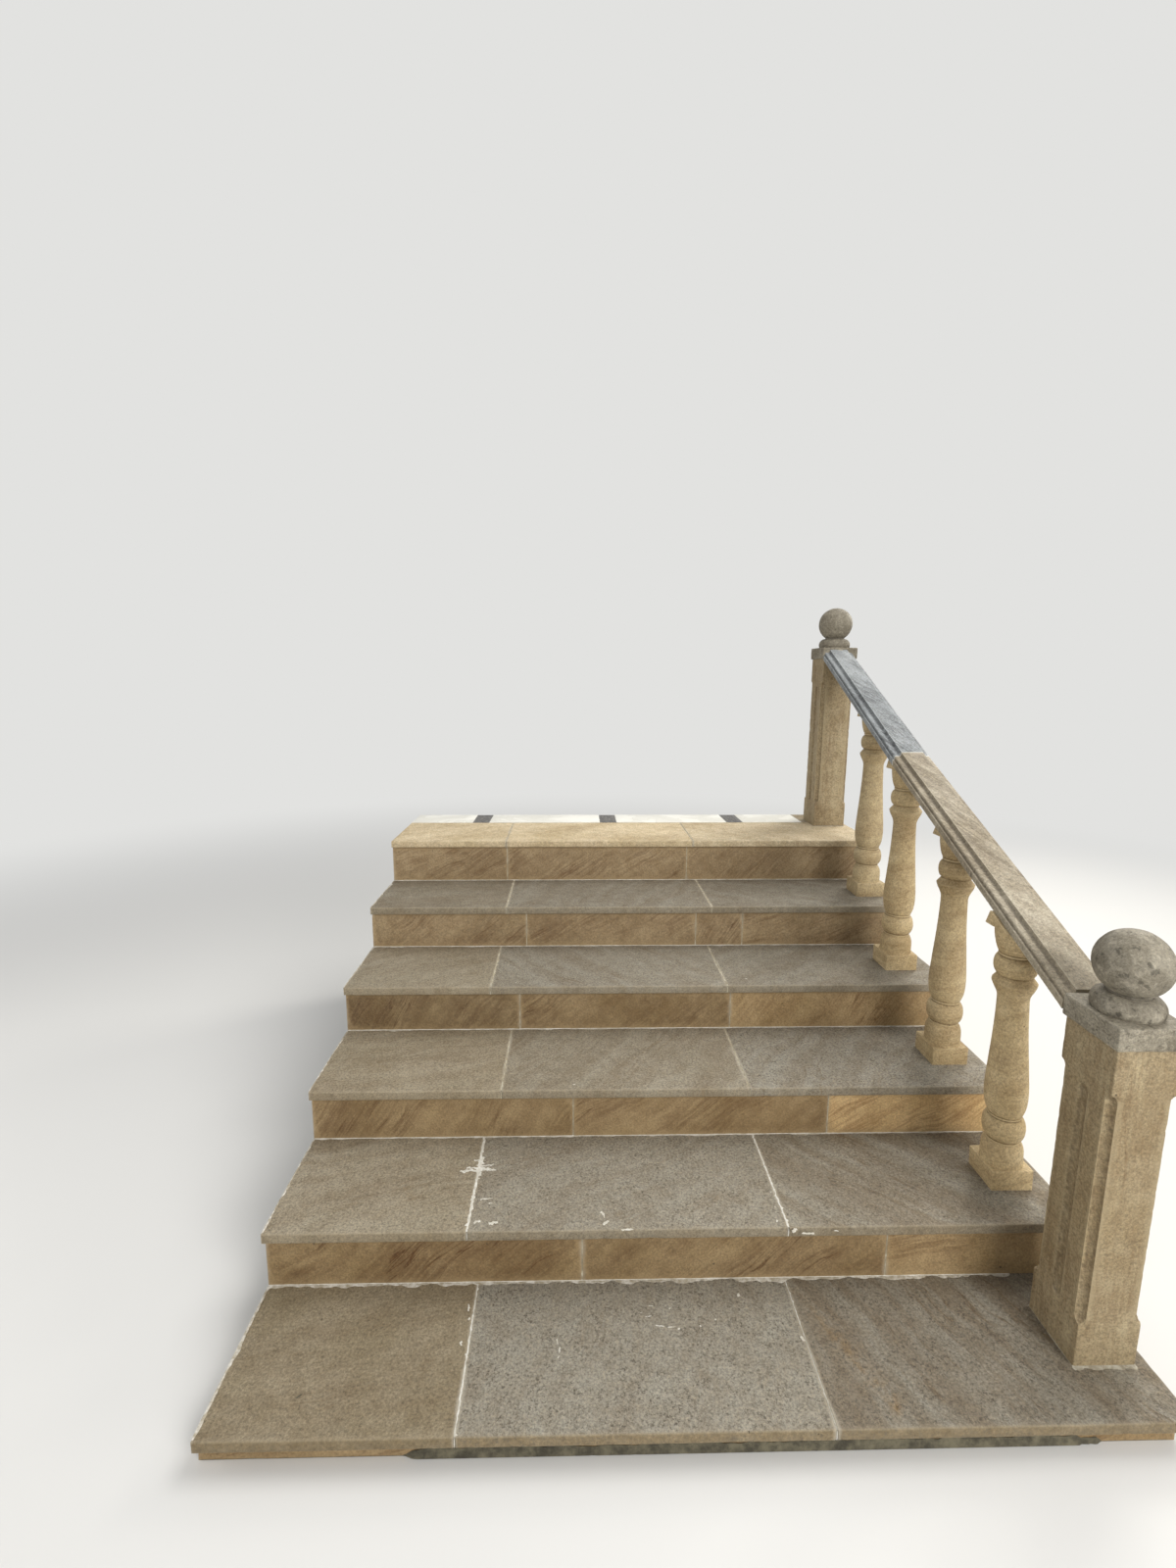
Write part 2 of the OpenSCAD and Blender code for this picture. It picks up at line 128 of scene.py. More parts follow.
def blend_colour(tree, factor, first, second, how="MIX"):
    """Colour of a mix node between two colours."""
    made = put(tree, "Mix", {0: factor, 6: first, 7: second}, data_type="RGBA", blend_type=how)
    return made.outputs[2]


def soft_step(tree, value, low, high, to_low=0.0, to_high=1.0):
    """A value brought smoothly from one range to another, and held at its ends."""
    made = put(
        tree, "MapRange", {0: value, 1: low, 2: high, 3: to_low, 4: to_high},
        interpolation_type="SMOOTHSTEP",
    )
    return made.outputs[0]


def sums(tree, how, first, second=0.5, third=0.5):
    """Result of a maths node."""
    return put(tree, "Math", {0: first, 1: second, 2: third}, operation=how).outputs[0]


def vector_sums(tree, how, first, second):
    """Result of a vector maths node."""
    return put(tree, "VectorMath", {0: first, 1: second}, operation=how).outputs[0]


def scaled(tree, vector, factor):
    """A vector or a colour times a factor."""
    return put(tree, "VectorMath", {0: vector, "Scale": factor}, operation="SCALE").outputs[0]


def noisy(tree, place, scale, detail=3.0, roughness=0.6):
    """Value of a noise texture."""
    return put(tree, "TexNoise", {"Vector": place, "Scale": scale, "Detail": detail,
                                  "Roughness": roughness}).outputs[0]


def streaky(tree, place, across, along, detail, roughness=0.6):
    """Noise that changes quickly along X and slowly along Y and Z, as beds of stone do."""
    drawn_out = vector_sums(tree, "MULTIPLY", place, (across, along, along))
    return noisy(tree, drawn_out, 1.0, detail, roughness)


def bumped(tree, height, strength, distance):
    """Normal of a surface that a height raises."""
    made = put(tree, "Bump", {"Strength": strength, "Distance": distance, "Height": height})
    return made.outputs["Normal"]


def new_material(name):
    """A material with its shader tree, its main shader and the place of each shaded point."""
    material = bpy.data.materials.new(name)
    material.use_nodes = True
    tree = material.node_tree
    return material, tree, tree.nodes["Principled BSDF"], put(tree, "TexCoord").outputs["Object"]


def new_group(name, inputs, outputs):
    """A shader node group with named sockets, and its input and output nodes."""
    tree = bpy.data.node_groups.new(name, "ShaderNodeTree")
    for label, kind, value in inputs:
        socket = tree.interface.new_socket(label, in_out="INPUT", socket_type="NodeSocket" + kind)
        if value is not None:
            socket.default_value = value
    for label in outputs:
        tree.interface.new_socket(label, in_out="OUTPUT", socket_type="NodeSocketFloat")
    return tree, tree.nodes.new("NodeGroupInput"), tree.nodes.new("NodeGroupOutput")


def use_group(tree, group, inputs):
    """Places a node group in a tree and fills its sockets."""
    return put(tree, "Group", inputs, node_tree=group).outputs


def rgb(red, green, blue):
    """An sRGB colour of 0 to 255 as the linear colour that a shader takes."""
    parts = [c / 255 for c in (red, green, blue)]
    linear = [c / 12.92 if c <= 0.04045 else ((c + 0.055) / 1.055) ** 2.4 for c in parts]
    return (*linear, 1.0)


# %% [markdown]
# Sandstone is sand laid down in water, so a sawn slab shows faint bands where it cuts the old
# beds, and here and there a thin dark vein where iron collected. The bands could be a wave
# texture, but a wave repeats. Noise squeezed along one direction gives beds of uneven thickness
# instead, and the line where such a noise passes its middle value makes a vein. Each slab comes
# from another place in the quarry, so the group takes a seed and an angle of its own.

# %% Node group: bedding of the sandstone
def make_bedding_group():
    tree, ins, outs = new_group(
        "stone bedding",
        [("Place", "Vector", None), ("Seed", "Float", 0.0), ("Turn", "Float", 0.0),
         ("Axis", "Vector", (0, 0, 1)), ("Warp", "Float", 0.05), ("Fineness", "Float", 1.0)],
        ["Beds", "Laminae", "Veins", "Clouds", "Mottle"],
    )
    place, seed = ins.outputs["Place"], ins.outputs["Seed"]
    apart = put(tree, "CombineXYZ", {0: sums(tree, "MULTIPLY", seed, 3.7), 1: seed,
                                     2: sums(tree, "MULTIPLY", seed, -2.3)}).outputs[0]
    moved = vector_sums(tree, "ADD", place, apart)
    drift = put(tree, "TexNoise", {"Vector": moved, "Scale": 3.4, "Detail": 3.0}).outputs["Color"]
    centred = vector_sums(tree, "SUBTRACT", drift, (0.5, 0.5, 0.5))
    warped = vector_sums(tree, "ADD", moved, scaled(tree, centred, ins.outputs["Warp"]))
    aligned = put(
        tree, "VectorRotate", {"Vector": warped, "Axis": ins.outputs["Axis"], "Angle": ins.outputs["Turn"]},
        rotation_type="AXIS_ANGLE",
    ).outputs[0]
    fine_place = scaled(tree, aligned, ins.outputs["Fineness"])
    beds = streaky(tree, fine_place, 20.0, 1.7, 4.0)
    laminae = streaky(tree, fine_place, 120.0, 7.0, 3.0, 0.55)
    lines = streaky(tree, fine_place, 34.0, 2.6, 2.0, 0.5)
    where = streaky(tree, fine_place, 9.0, 3.0, 2.0)
    off_line = sums(tree, "ABSOLUTE", sums(tree, "SUBTRACT", lines, 0.5))
    shown_laminae, shown_veins = soft_step(tree, where, 0.36, 0.6), soft_step(tree, where, 0.5, 0.6)
    fill(tree, outs, {
        "Beds": soft_step(tree, beds, 0.34, 0.66),
        "Laminae": sums(tree, "MULTIPLY", soft_step(tree, laminae, 0.36, 0.68), shown_laminae),
        "Veins": sums(tree, "MULTIPLY", soft_step(tree, off_line, 0.022, 0.0), shown_veins),
        "Clouds": soft_step(tree, noisy(tree, warped, 4.6), 0.32, 0.68),
        "Mottle": soft_step(tree, noisy(tree, warped, 30.0, 4.0), 0.3, 0.7),
    })
    return tree


BEDDING = make_bedding_group()

# %% [markdown]
# Close to, the stone is grains of quartz, dark specks and small pits where a grain has fallen
# out. Two noises a millimetre or two across make the grains, and a Voronoi texture makes
# round pits: only a few of its cells, picked by their own random colour, hold one.

# %% Node group: sand grains and pits
def make_grain_group():
    tree, ins, outs = new_group(
        "sand grain",
        [("Place", "Vector", None), ("Pits", "Float", 0.15), ("Blotches", "Float", 95.0)],
        ["Grain", "Specks", "Glints", "Spots", "Scabs", "Pit", "Height"],
    )
    place = ins.outputs["Place"]
    grain = noisy(tree, place, 190.0, 5.0, 0.85)
    specks = noisy(tree, place, 150.0, 4.0, 0.8)
    patchy = soft_step(tree, noisy(tree, place, 14.0, 3.0), 0.30, 0.62, 0.45, 1.0)
    cells = put(tree, "TexVoronoi", {"Vector": place, "Scale": 46.0, "Randomness": 1.0})
    chance = put(tree, "SeparateColor", {0: cells.outputs["Color"]}).outputs[0]
    chosen = sums(tree, "LESS_THAN", chance, ins.outputs["Pits"])
    ragged = sums(tree, "MULTIPLY_ADD", specks, 0.16, cells.outputs["Distance"])
    pit = sums(tree, "MULTIPLY", soft_step(tree, ragged, 0.20, 0.14), chosen)
    rough_height = sums(tree, "MULTIPLY_ADD", specks, 0.8, grain)
    blotches = noisy(tree, place, ins.outputs["Blotches"], 3.0, 0.65)
    fill(tree, outs, {
        "Grain": grain,
        "Specks": sums(tree, "MULTIPLY", soft_step(tree, specks, 0.53, 0.62), patchy),
        "Glints": soft_step(tree, specks, 0.43, 0.33),
        "Spots": soft_step(tree, blotches, 0.54, 0.66),
        "Scabs": soft_step(tree, blotches, 0.44, 0.33),
        "Pit": pit,
        "Height": sums(tree, "MULTIPLY_ADD", pit, -4.0, rough_height),
    })
    return tree


GRAIN = make_grain_group()

# %% [markdown]
# Weathered stone grows pale along its arrises and carries a film of grout beside its joints, and
# the stone is made darker in its hollows. All three follow the shape, so each vertex carries a
# number for each. The group breaks them up with noise, so that none of them ends in a ruled line.

# %% Node group: rubbed edges, darker hollows and grout film
def make_wear_group():
    tree, ins, outs = new_group(
        "edge wear and film",
        [("Place", "Vector", None), ("Edge", "Float", 0.0), ("Hollow", "Float", 0.0),
         ("Joint", "Float", 0.0)],
        ["Rubbed", "Hollow darkening", "Film", "Stain"],
    )
    place = ins.outputs["Place"]
    fine = noisy(tree, place, 75.0, 4.0, 0.65)
    coarse = noisy(tree, place, 13.0, 4.0)

    def broken_up(label, noise_value, amount, shift):
        ragged = sums(tree, "MULTIPLY_ADD", noise_value, amount, shift)
        return sums(tree, "ADD", ins.outputs[label], ragged)

    fill(tree, outs, {
        "Rubbed": soft_step(tree, broken_up("Edge", fine, 0.8, -0.4), 0.35, 1.0),
        "Hollow darkening": soft_step(tree, broken_up("Hollow", fine, 0.8, -0.45), 0.1, 0.8),
        "Film": soft_step(tree, broken_up("Joint", coarse, 1.5, -0.9), 0.35, 1.0),
        "Stain": soft_step(tree, coarse, 0.45, 0.75),
    })
    return tree


WEAR = make_wear_group()

# %% [markdown]
# One function makes every sandstone on the stair, because it is one stone used in many ways. The
# treads lie flat and are greyed by feet and rain, and their grey stands partly for painted cool
# skylight; the risers keep the golden colour and the slanting beds of the quarry, and their gold
# stands partly for painted warm light thrown up from the treads; and the caps have weathered grey.
# What differs is a handful of colours and strengths, so those are its arguments. What differs from
# slab to slab comes from the slab's own numbers: its seed, bedding angle, greyness, tone and veins,
# how dark its front edge is (golden stone colour and painted shade on the upright face), and where
# an ochre streak runs.

# %% Sandstone material
FLAT_AXIS, FRONT_AXIS, SIDE_AXIS = (0, 0, 1), (0, 1, 0), (1, 0, 0)
SLAB_NUMBERS = ("slab_seed", "slab_turn", "slab_grey", "slab_tone", "slab_veins", "slab_front", "slab_ochre",
                "edge", "hollow", "joint")
SPECK_BROWN, PIT_BROWN = (0.08, 0.065, 0.045, 1.0), (0.05, 0.036, 0.02, 1.0)
# The first colour is the golden tone and painted shade laid on the treads' upright front faces.
FRONT_GOLD_AND_SHADE, OCHRE, GROUT_FILM = rgb(124, 107, 76), rgb(140, 108, 60), rgb(184, 178, 164)


def sandstone(name, pale, body, deep, axis, *, beds, laminae, veins, speckle, mottle, spots, pits, warp,
              coarse, grey=rgb(160, 156, 146), fineness=1.0, bump=0.3, turn=0.0, blotches=95.0):
    """Sandstone of three tones, with its bedding turned about an axis."""
    material, tree, shader, place = new_material(name)
    own = {key: put(tree, "Attribute", attribute_name=key).outputs["Fac"] for key in SLAB_NUMBERS}
    bedding = use_group(tree, BEDDING, {
        "Place": place, "Seed": own["slab_seed"], "Axis": axis, "Warp": warp, "Fineness": fineness,
        "Turn": sums(tree, "ADD", own["slab_turn"], math.radians(turn)),
    })
    front_pits = sums(tree, "MULTIPLY_ADD", own["slab_front"], 0.08, pits)
    grain = use_group(tree, GRAIN, {"Place": place, "Pits": front_pits, "Blotches": blotches})
    wear = use_group(tree, WEAR, {"Place": place, "Edge": own["edge"], "Hollow": own["hollow"],
                                  "Joint": own["joint"]})

    def times(first, second):
        return sums(tree, "MULTIPLY", first, second)

    def layer(mask, strength, below, above, how="MIX"):
        return blend_colour(tree, times(mask, strength), below, above, how)

    vein_share = sums(tree, "ADD", own["slab_veins"], 1.0)
    speck_share = sums(tree, "MULTIPLY_ADD", own["slab_grey"], 1.1, 0.15)
    colour = blend_colour(tree, bedding["Clouds"], body, pale)
    colour = blend_colour(tree, own["slab_grey"], colour, grey)
    colour = layer(times(bedding["Beds"], vein_share), beds, colour, deep)
    colour = layer(bedding["Laminae"], laminae, colour, deep)
    colour = layer(times(bedding["Veins"], vein_share), veins, colour, deep)
    # Treads' front faces: golden stone colour and painted shade.
    colour = layer(own["slab_front"], 0.8, colour, FRONT_GOLD_AND_SHADE)
    colour = layer(times(own["slab_ochre"], bedding["Mottle"]), 0.8, colour, OCHRE)
    colour = layer(bedding["Mottle"], mottle, colour, deep)
    colour = layer(grain["Spots"], spots, colour, pale)
    colour = layer(grain["Scabs"], spots, colour, deep, "MULTIPLY")
    colour = layer(times(grain["Specks"], speck_share), speckle, colour, SPECK_BROWN)
    colour = layer(times(grain["Glints"], speck_share), speckle * 0.5, colour, pale)
    grain_tone = soft_step(tree, grain["Grain"], 0.3, 0.7, 1 - coarse, 1 + coarse)
    colour = scaled(tree, colour, times(grain_tone, sums(tree, "ADD", own["slab_tone"], 1.0)))
    colour = layer(wear["Stain"], 0.14, colour, deep)
    # The stone is made darker in its hollows, found from the bend of the surface.
    colour = layer(wear["Hollow darkening"], 0.4, colour, (*(c * 0.45 for c in deep[:3]), 1.0))
    colour = layer(wear["Rubbed"], 0.45, colour, pale)
    colour = layer(wear["Film"], 0.45, colour, GROUT_FILM)
    fill(tree, shader, {
        "Base Color": layer(grain["Pit"], 0.8, colour, PIT_BROWN),
        "Roughness": soft_step(tree, bedding["Mottle"], 0.0, 1.0, 0.68, 0.84),
        "Normal": bumped(tree, grain["Height"], bump, 0.0008),
    })
    return material


# The treads' grey stands partly for painted cool skylight.
TREAD_STONE = sandstone(
    "tread sandstone", rgb(152, 139, 114), rgb(134, 120, 92), rgb(94, 74, 46), FLAT_AXIS,
    beds=0.26, laminae=0.14, veins=0.34, speckle=0.85, mottle=0.22, spots=0.12, grey=rgb(138, 134, 122),
    pits=0.012, warp=0.12, coarse=0.42,
)
# The risers' gold stands partly for painted warm light thrown up from the treads.
RISER_STONE = sandstone(
    "riser sandstone", rgb(164, 141, 103), rgb(142, 119, 81), rgb(88, 58, 27), FRONT_AXIS,
    beds=0.22, laminae=0.50, veins=0.60, speckle=0.6, mottle=0.24, spots=0.10, pits=0.05, warp=0.10,
    fineness=1.15, coarse=0.30,
)
FLANK_STONE = sandstone(
    "flank sandstone", rgb(176, 158, 122), rgb(158, 138, 100), rgb(104, 76, 42), SIDE_AXIS,
    beds=0.24, laminae=0.36, veins=0.50, speckle=0.55, mottle=0.18, spots=0.10, pits=0.03, warp=0.12,
    coarse=0.30,
)
SHAFT_STONE = sandstone(
    "newel sandstone", rgb(166, 151, 119), rgb(148, 131, 98), rgb(104, 79, 48), FLAT_AXIS,
    beds=0.26, laminae=0.34, veins=0.34, speckle=0.8, mottle=0.24, spots=0.14, pits=0.02, warp=0.03, turn=40,
    fineness=1.5, coarse=0.36, bump=0.6,
)
CAP_STONE = sandstone(
    "weathered sandstone", rgb(158, 151, 134), rgb(118, 110, 93), rgb(78, 68, 52), FRONT_AXIS,
    beds=0.34, laminae=0.26, veins=0.35, speckle=0.8, mottle=0.30, spots=0.32, pits=0.05, warp=0.16, turn=-70,
    coarse=0.34, bump=0.8,
)
BALL_STONE = sandstone(
    "finial sandstone", rgb(172, 164, 146), rgb(108, 100, 82), rgb(66, 57, 41), SIDE_AXIS,
    beds=0.40, laminae=0.30, veins=0.35, speckle=0.8, mottle=0.34, spots=0.55, pits=0.07, warp=0.20, turn=20,
    coarse=0.34, bump=0.9, blotches=52.0,
)
BALUSTER_STONE = sandstone(
    "turned sandstone", rgb(196, 177, 138), rgb(174, 153, 113), rgb(122, 96, 60), FRONT_AXIS,
    beds=0.28, laminae=0.28, veins=0.40, speckle=0.6, mottle=0.20, spots=0.14, pits=0.02, warp=0.10, turn=-75,
    fineness=1.4, coarse=0.34, bump=0.6,
)
# The lower rail's warm colours stand partly for painted warm light thrown up from the stone around it.
RAIL_STONE = sandstone(
    "handrail sandstone", rgb(176, 166, 145), rgb(149, 137, 114), rgb(90, 78, 60), FLAT_AXIS,
    beds=0.40, laminae=0.50, veins=0.55, speckle=0.7, mottle=0.24, spots=0.18, grey=rgb(138, 143, 147),
    pits=0.02, warp=0.12, coarse=0.34, bump=0.6,
)
BLUE_RAIL_STONE = sandstone(
    "blue-grey handrail sandstone", rgb(166, 169, 168), rgb(142, 146, 147), rgb(78, 80, 82), FLAT_AXIS,
    beds=0.30, laminae=0.80, veins=0.90, speckle=0.7, mottle=0.16, spots=0.14, grey=rgb(142, 147, 149),
    pits=0.01, warp=0.08, coarse=0.42, fineness=1.6, bump=0.6,
)
print("sandstones made:", sorted(m.name for m in bpy.data.materials if "sandstone" in m.name))

# %% [markdown]
# The mortars are simpler: two tones in soft patches, with sand in their surface. Grout dries
# almost white and chalky. Where it was wiped across the stone, a thin smear takes up the
# stone's own colour. The mortar pushed under the lowest slab is dark grey-green, with its darker
# tone as painted shade. The concrete core shows on the two party faces, with the lines of its
# shuttering boards and small air holes.

# %% Mortar and concrete materials
DARK_SAND = (0.10, 0.09, 0.07, 1.0)
BOARD_HEIGHT = 0.15


def mortar(name, pale, dark, scale, bump, sandy=0.25):
    """A chalky mortar: two tones in soft patches, with sand in its surface."""
    material, tree, shader, place = new_material(name)
    patches = noisy(tree, place, scale, 5.0, 0.7)
    sand = noisy(tree, place, 430.0, 2.0)
    tone = blend_colour(tree, soft_step(tree, patches, 0.35, 0.68), dark, pale)
    fill(tree, shader, {
        "Base Color": blend_colour(tree, soft_step(tree, sand, 0.52, 0.72, 0.0, sandy), tone, DARK_SAND),
        "Roughness": soft_step(tree, patches, 0.3, 0.7, 0.82, 0.95),
        "Normal": bumped(tree, sums(tree, "MULTIPLY_ADD", patches, 2.0, sand), bump, 0.001),
    })
    return material


GROUT = mortar("pale grout", rgb(222, 219, 210), rgb(186, 180, 165), 45.0, 0.4, 0.12)
IVORY_GROUT = mortar("ivory grout", rgb(202, 194, 172), rgb(160, 147, 120), 60.0, 0.4, 0.12)
DULL_MORTAR = mortar("newel mortar", rgb(176, 170, 154), rgb(134, 125, 105), 60.0, 0.5)
SMEAR = mortar("wiped grout", rgb(214, 210, 200), rgb(160, 150, 129), 60.0, 0.3)
BED_MORTAR = mortar("bedding mortar", rgb(186, 179, 163), rgb(150, 141, 122), 30.0, 0.5)
# Mortar under the lowest slab: grey-green, its dark tone painted shade.
MORTAR_AND_PAINTED_SHADE = mortar("dark mortar with painted shade", rgb(112, 106, 86), rgb(58, 54, 42), 26.0, 0.7)


def cast_concrete():
    """Concrete with the marks of shuttering boards up its sides, and scattered air holes."""
    material, tree, shader, place = new_material("cast concrete")
    height = put(tree, "SeparateXYZ", {0: place}).outputs[2]
    board = sums(tree, "MULTIPLY", height, 1 / BOARD_HEIGHT)
    board_number = sums(tree, "FLOOR", board)
    across_board = sums(tree, "ABSOLUTE", sums(tree, "SUBTRACT", sums(tree, "FRACT", board), 0.5))
    board_line = soft_step(tree, across_board, 0.485, 0.5)
    board_tone = put(tree, "TexWhiteNoise", {"W": board_number}, noise_dimensions="1D").outputs["Value"]
    wood = noisy(tree, vector_sums(tree, "MULTIPLY", place, (3.0, 3.0, 60.0)), 1.0, 5.0)
    clouds = noisy(tree, place, 4.0, 6.0)
    cells = put(tree, "TexVoronoi", {"Vector": place, "Scale": 48.0})
    chance = put(tree, "SeparateColor", {0: cells.outputs["Color"]}).outputs[1]
    hole = sums(tree, "MULTIPLY", soft_step(tree, cells.outputs["Distance"], 0.16, 0.1),
                sums(tree, "LESS_THAN", chance, 0.12))
    colour = blend_colour(tree, soft_step(tree, clouds, 0.3, 0.7), rgb(132, 130, 122), rgb(170, 167, 158))
    colour = blend_colour(tree, sums(tree, "MULTIPLY", board_tone, 0.25), colour, rgb(116, 114, 107))
    colour = blend_colour(tree, sums(tree, "MULTIPLY", board_line, 0.5), colour, rgb(88, 86, 79))
    relief = sums(tree, "SUBTRACT", sums(tree, "MULTIPLY", wood, 0.5), sums(tree, "ADD", board_line, hole))
    fill(tree, shader, {
        "Base Color": blend_colour(tree, hole, colour, rgb(62, 60, 55)),
        "Roughness": soft_step(tree, clouds, 0.3, 0.7, 0.78, 0.92),
        "Normal": bumped(tree, relief, 0.5, 0.002),
    })
    return material


CONCRETE = cast_concrete()

# %% [markdown]
# The strip of floor behind the top slab is pale porcelain with faint clouds, crossed by
# strips of dark stone mosaic. Both are smoother than the sandstone.

# %% Floor tile materials
def floor_tile(name, pale, dark, scale, roughness):
    """A satin tile with soft clouds and faint veins, each piece from its own place."""
    material, tree, shader, place = new_material(name)
    seed = put(tree, "Attribute", attribute_name="slab_seed").outputs["Fac"]
    moved = vector_sums(tree, "ADD", place, put(tree, "CombineXYZ", {0: seed, 1: seed}).outputs[0])
    clouds = put(tree, "TexNoise", {"Vector": moved, "Scale": scale, "Detail": 6.0, "Roughness": 0.6,
                                    "Distortion": 0.8}).outputs[0]
    veins = sums(tree, "ABSOLUTE", sums(tree, "SUBTRACT", clouds, 0.5))
    tone = blend_colour(tree, soft_step(tree, clouds, 0.35, 0.65), dark, pale)
    fill(tree, shader, {
        "Base Color": blend_colour(tree, soft_step(tree, veins, 0.02, 0.0, 0.0, 0.35), tone, dark,
                                   "MULTIPLY"),
        "Roughness": soft_step(tree, clouds, 0.3, 0.7, roughness, roughness + 0.15),
        "Normal": bumped(tree, clouds, 0.08, 0.0005),
    })
    return material


PORCELAIN = floor_tile("pale porcelain", rgb(232, 230, 220), rgb(212, 209, 198), 6.0, 0.32)
MOSAIC = floor_tile("dark mosaic", rgb(112, 109, 104), rgb(62, 60, 58), 30.0, 0.42)

# %% [markdown]
# The next helpers do what a hand does in edit mode: start from a cube, ease its edges with a
# bevel, and slice rings of edges round it, so that its vertices can carry wear. They pick edges
# by their place or direction, because nothing else tells one edge of a box from another.

# %% Helpers for sawn blocks
def nothing_selected():
    """Leaves edit mode and selects nothing."""
    if bpy.context.object and bpy.context.object.mode != "OBJECT":
        bpy.ops.object.mode_set(mode="OBJECT")
    bpy.ops.object.select_all(action="DESELECT")


def only(made):
    """Makes one object the selected and active one."""
    nothing_selected()
    made.select_set(True)
    bpy.context.view_layer.objects.active = made


def pick_edges(test):
    """Selects, in edit mode, the edges whose two ends pass the test."""
    mesh = bmesh.from_edit_mesh(bpy.context.edit_object.data)
    bpy.ops.mesh.select_mode(type="EDGE")
    bpy.ops.mesh.select_all(action="DESELECT")
    for edge in mesh.edges:
        edge.select_set(bool(test(edge.verts[0].co, edge.verts[1].co)))
    bmesh.update_edit_mesh(bpy.context.edit_object.data)


def block(name, low, high):
    """A cube between two corners, at its place in the mesh."""
    nothing_selected()
    low, high = Vector(low), Vector(high)
    bpy.ops.mesh.primitive_cube_add(size=1.0, location=(low + high) / 2)
    made = bpy.context.object
    made.name = name
    made.scale = high - low
    bpy.ops.object.transform_apply(location=True, rotation=True, scale=True)
    return made


def bevel_edges(test, width, segments):
    """Eases the edges that pass the test. The object is in edit mode."""
    pick_edges(test)
    bpy.ops.mesh.bevel(offset=width, segments=segments, profile=0.5, affect="EDGES", clamp_overlap=True)


SHORTEST_CUT = 0.03


def cut_along(axis, pitch):
    """Cuts loops across the long edges that run along an axis, about a pitch apart."""
    mesh = bmesh.from_edit_mesh(bpy.context.edit_object.data)
    longest = max(abs(e.verts[0].co[axis] - e.verts[1].co[axis]) for e in mesh.edges)
    if longest < SHORTEST_CUT:
        return
    cuts = max(1, round(longest / pitch) - 1)

    def long_one(a, b):
        run = abs(a[axis] - b[axis])
        return run > longest * 0.8 and run > 0.95 * (a - b).length

    pick_edges(long_one)
    bpy.ops.mesh.subdivide(number_cuts=cuts)


def slice_at(axis, places):
    """Slices a ring of edges round the whole mesh at each place along an axis."""
    normal = Vector([float(k == axis) for k in range(3)])
    for place in places:
        bpy.ops.mesh.select_all(action="SELECT")
        bpy.ops.mesh.bisect(plane_co=normal * place, plane_no=normal)


def keep_one_side(made, point, normal):
    """Cuts an object along a plane, keeps the side that the normal points to and closes the cut."""
    only(made)
    bpy.ops.object.mode_set(mode="EDIT")
    bpy.ops.mesh.select_all(action="SELECT")
    bpy.ops.mesh.bisect(plane_co=point, plane_no=normal, clear_inner=True, use_fill=True)
    bpy.ops.object.mode_set(mode="OBJECT")


def edge_distance(point, low, high):
    """How far a point on a box's surface is from the nearest edge of the box."""
    gaps = sorted(min(point[k] - low[k], high[k] - point[k]) for k in range(3))
    return max(gaps[1], 0.0)


def nick(made, low, high, reach, depth, seed):
    """Rubs and chips the edges of a block: vertices near an edge move inwards by uneven amounts."""
    middle = (low + high) / 2
    for vertex in made.data.vertices:
        point = vertex.co
        near = [k for k in range(3) if min(point[k] - low[k], high[k] - point[k]) < reach]
        if len(near) < 2:
            continue
        small = noise.noise(point * 70 + Vector((seed, 0, 0)))
        large = noise.noise(point * 27 + Vector((0, seed, 0)))
        chip = max(0.0, large - 0.3) * 5.0
        move = depth * (0.25 + 0.25 * small + chip * (0.7 + 0.5 * small))
        for k in near:
            vertex.co[k] += move * (1 if point[k] < middle[k] else -1)


def write_numbers(made, **numbers):
    """Stores a number for every vertex under each name, from a value, a list or a function of place."""
    for key, value in numbers.items():
        layer = made.data.attributes.get(key) or made.data.attributes.new(key, "FLOAT", "POINT")
        for vertex in made.data.vertices:
            if callable(value):
                layer.data[vertex.index].value = value(vertex.co)
            else:
                layer.data[vertex.index].value = value[vertex.index] if isinstance(value, list) else value


def join(name, parts):
    """Joins objects into one, under a new name."""
    nothing_selected()
    for part in parts:
        part.select_set(True)
    bpy.context.view_layer.objects.active = parts[0]
    if len(parts) > 1:
        bpy.ops.object.join()
    made = bpy.context.object
    made.name = name
    return made


def smooth(made, degrees=35):
    """Smooth shading across all but sharp edges."""
    only(made)
    bpy.ops.object.shade_smooth_by_angle(angle=math.radians(degrees))
    return made


def settle(made, material, slot, *nodes):
    """Gives a finished piece its material and its body, and hides the nodes that it stands for. The slot is
    not used.
    """
    made.data.materials.clear()
    made.data.materials.append(material)
    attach(made, "root")
    if nodes:
        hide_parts(*nodes)
    print(made.name, len(made.data.polygons), "faces")
    return made


# %% [markdown]
# A sawn slab is a block with eased edges. Its pieces are found in the CAD node itself: the
# loose parts of the node's mesh, one for each slab, give the corners to build between, so
# the joints fall where the construction puts them.

# %% Slabs from a CAD node
def boxes_of(node):
    """Corner pairs of a CAD node's loose parts, from left to right."""
    mesh = bmesh.new()
    mesh.from_mesh(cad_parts[node].data)
    bmesh.ops.remove_doubles(mesh, verts=mesh.verts, dist=1e-6)
    mesh.verts.ensure_lookup_table()
    seen, boxes = set(), []
    for start in mesh.verts:
        if start.index in seen:
            continue
        part, queue = [], [start]
        seen.add(start.index)
        while queue:
            vertex = queue.pop()
            part.append(vertex.co.copy())
            for edge in vertex.link_edges:
                other = edge.other_vert(vertex)
                if other.index not in seen:
                    seen.add(other.index)
                    queue.append(other)
        low = Vector(min(p[k] for p in part) for k in range(3))
        high = Vector(max(p[k] for p in part) for k in range(3))
        boxes.append((low, high))
    mesh.free()
    return sorted(boxes, key=lambda pair: (round(pair[0].y, 3), pair[0].x))


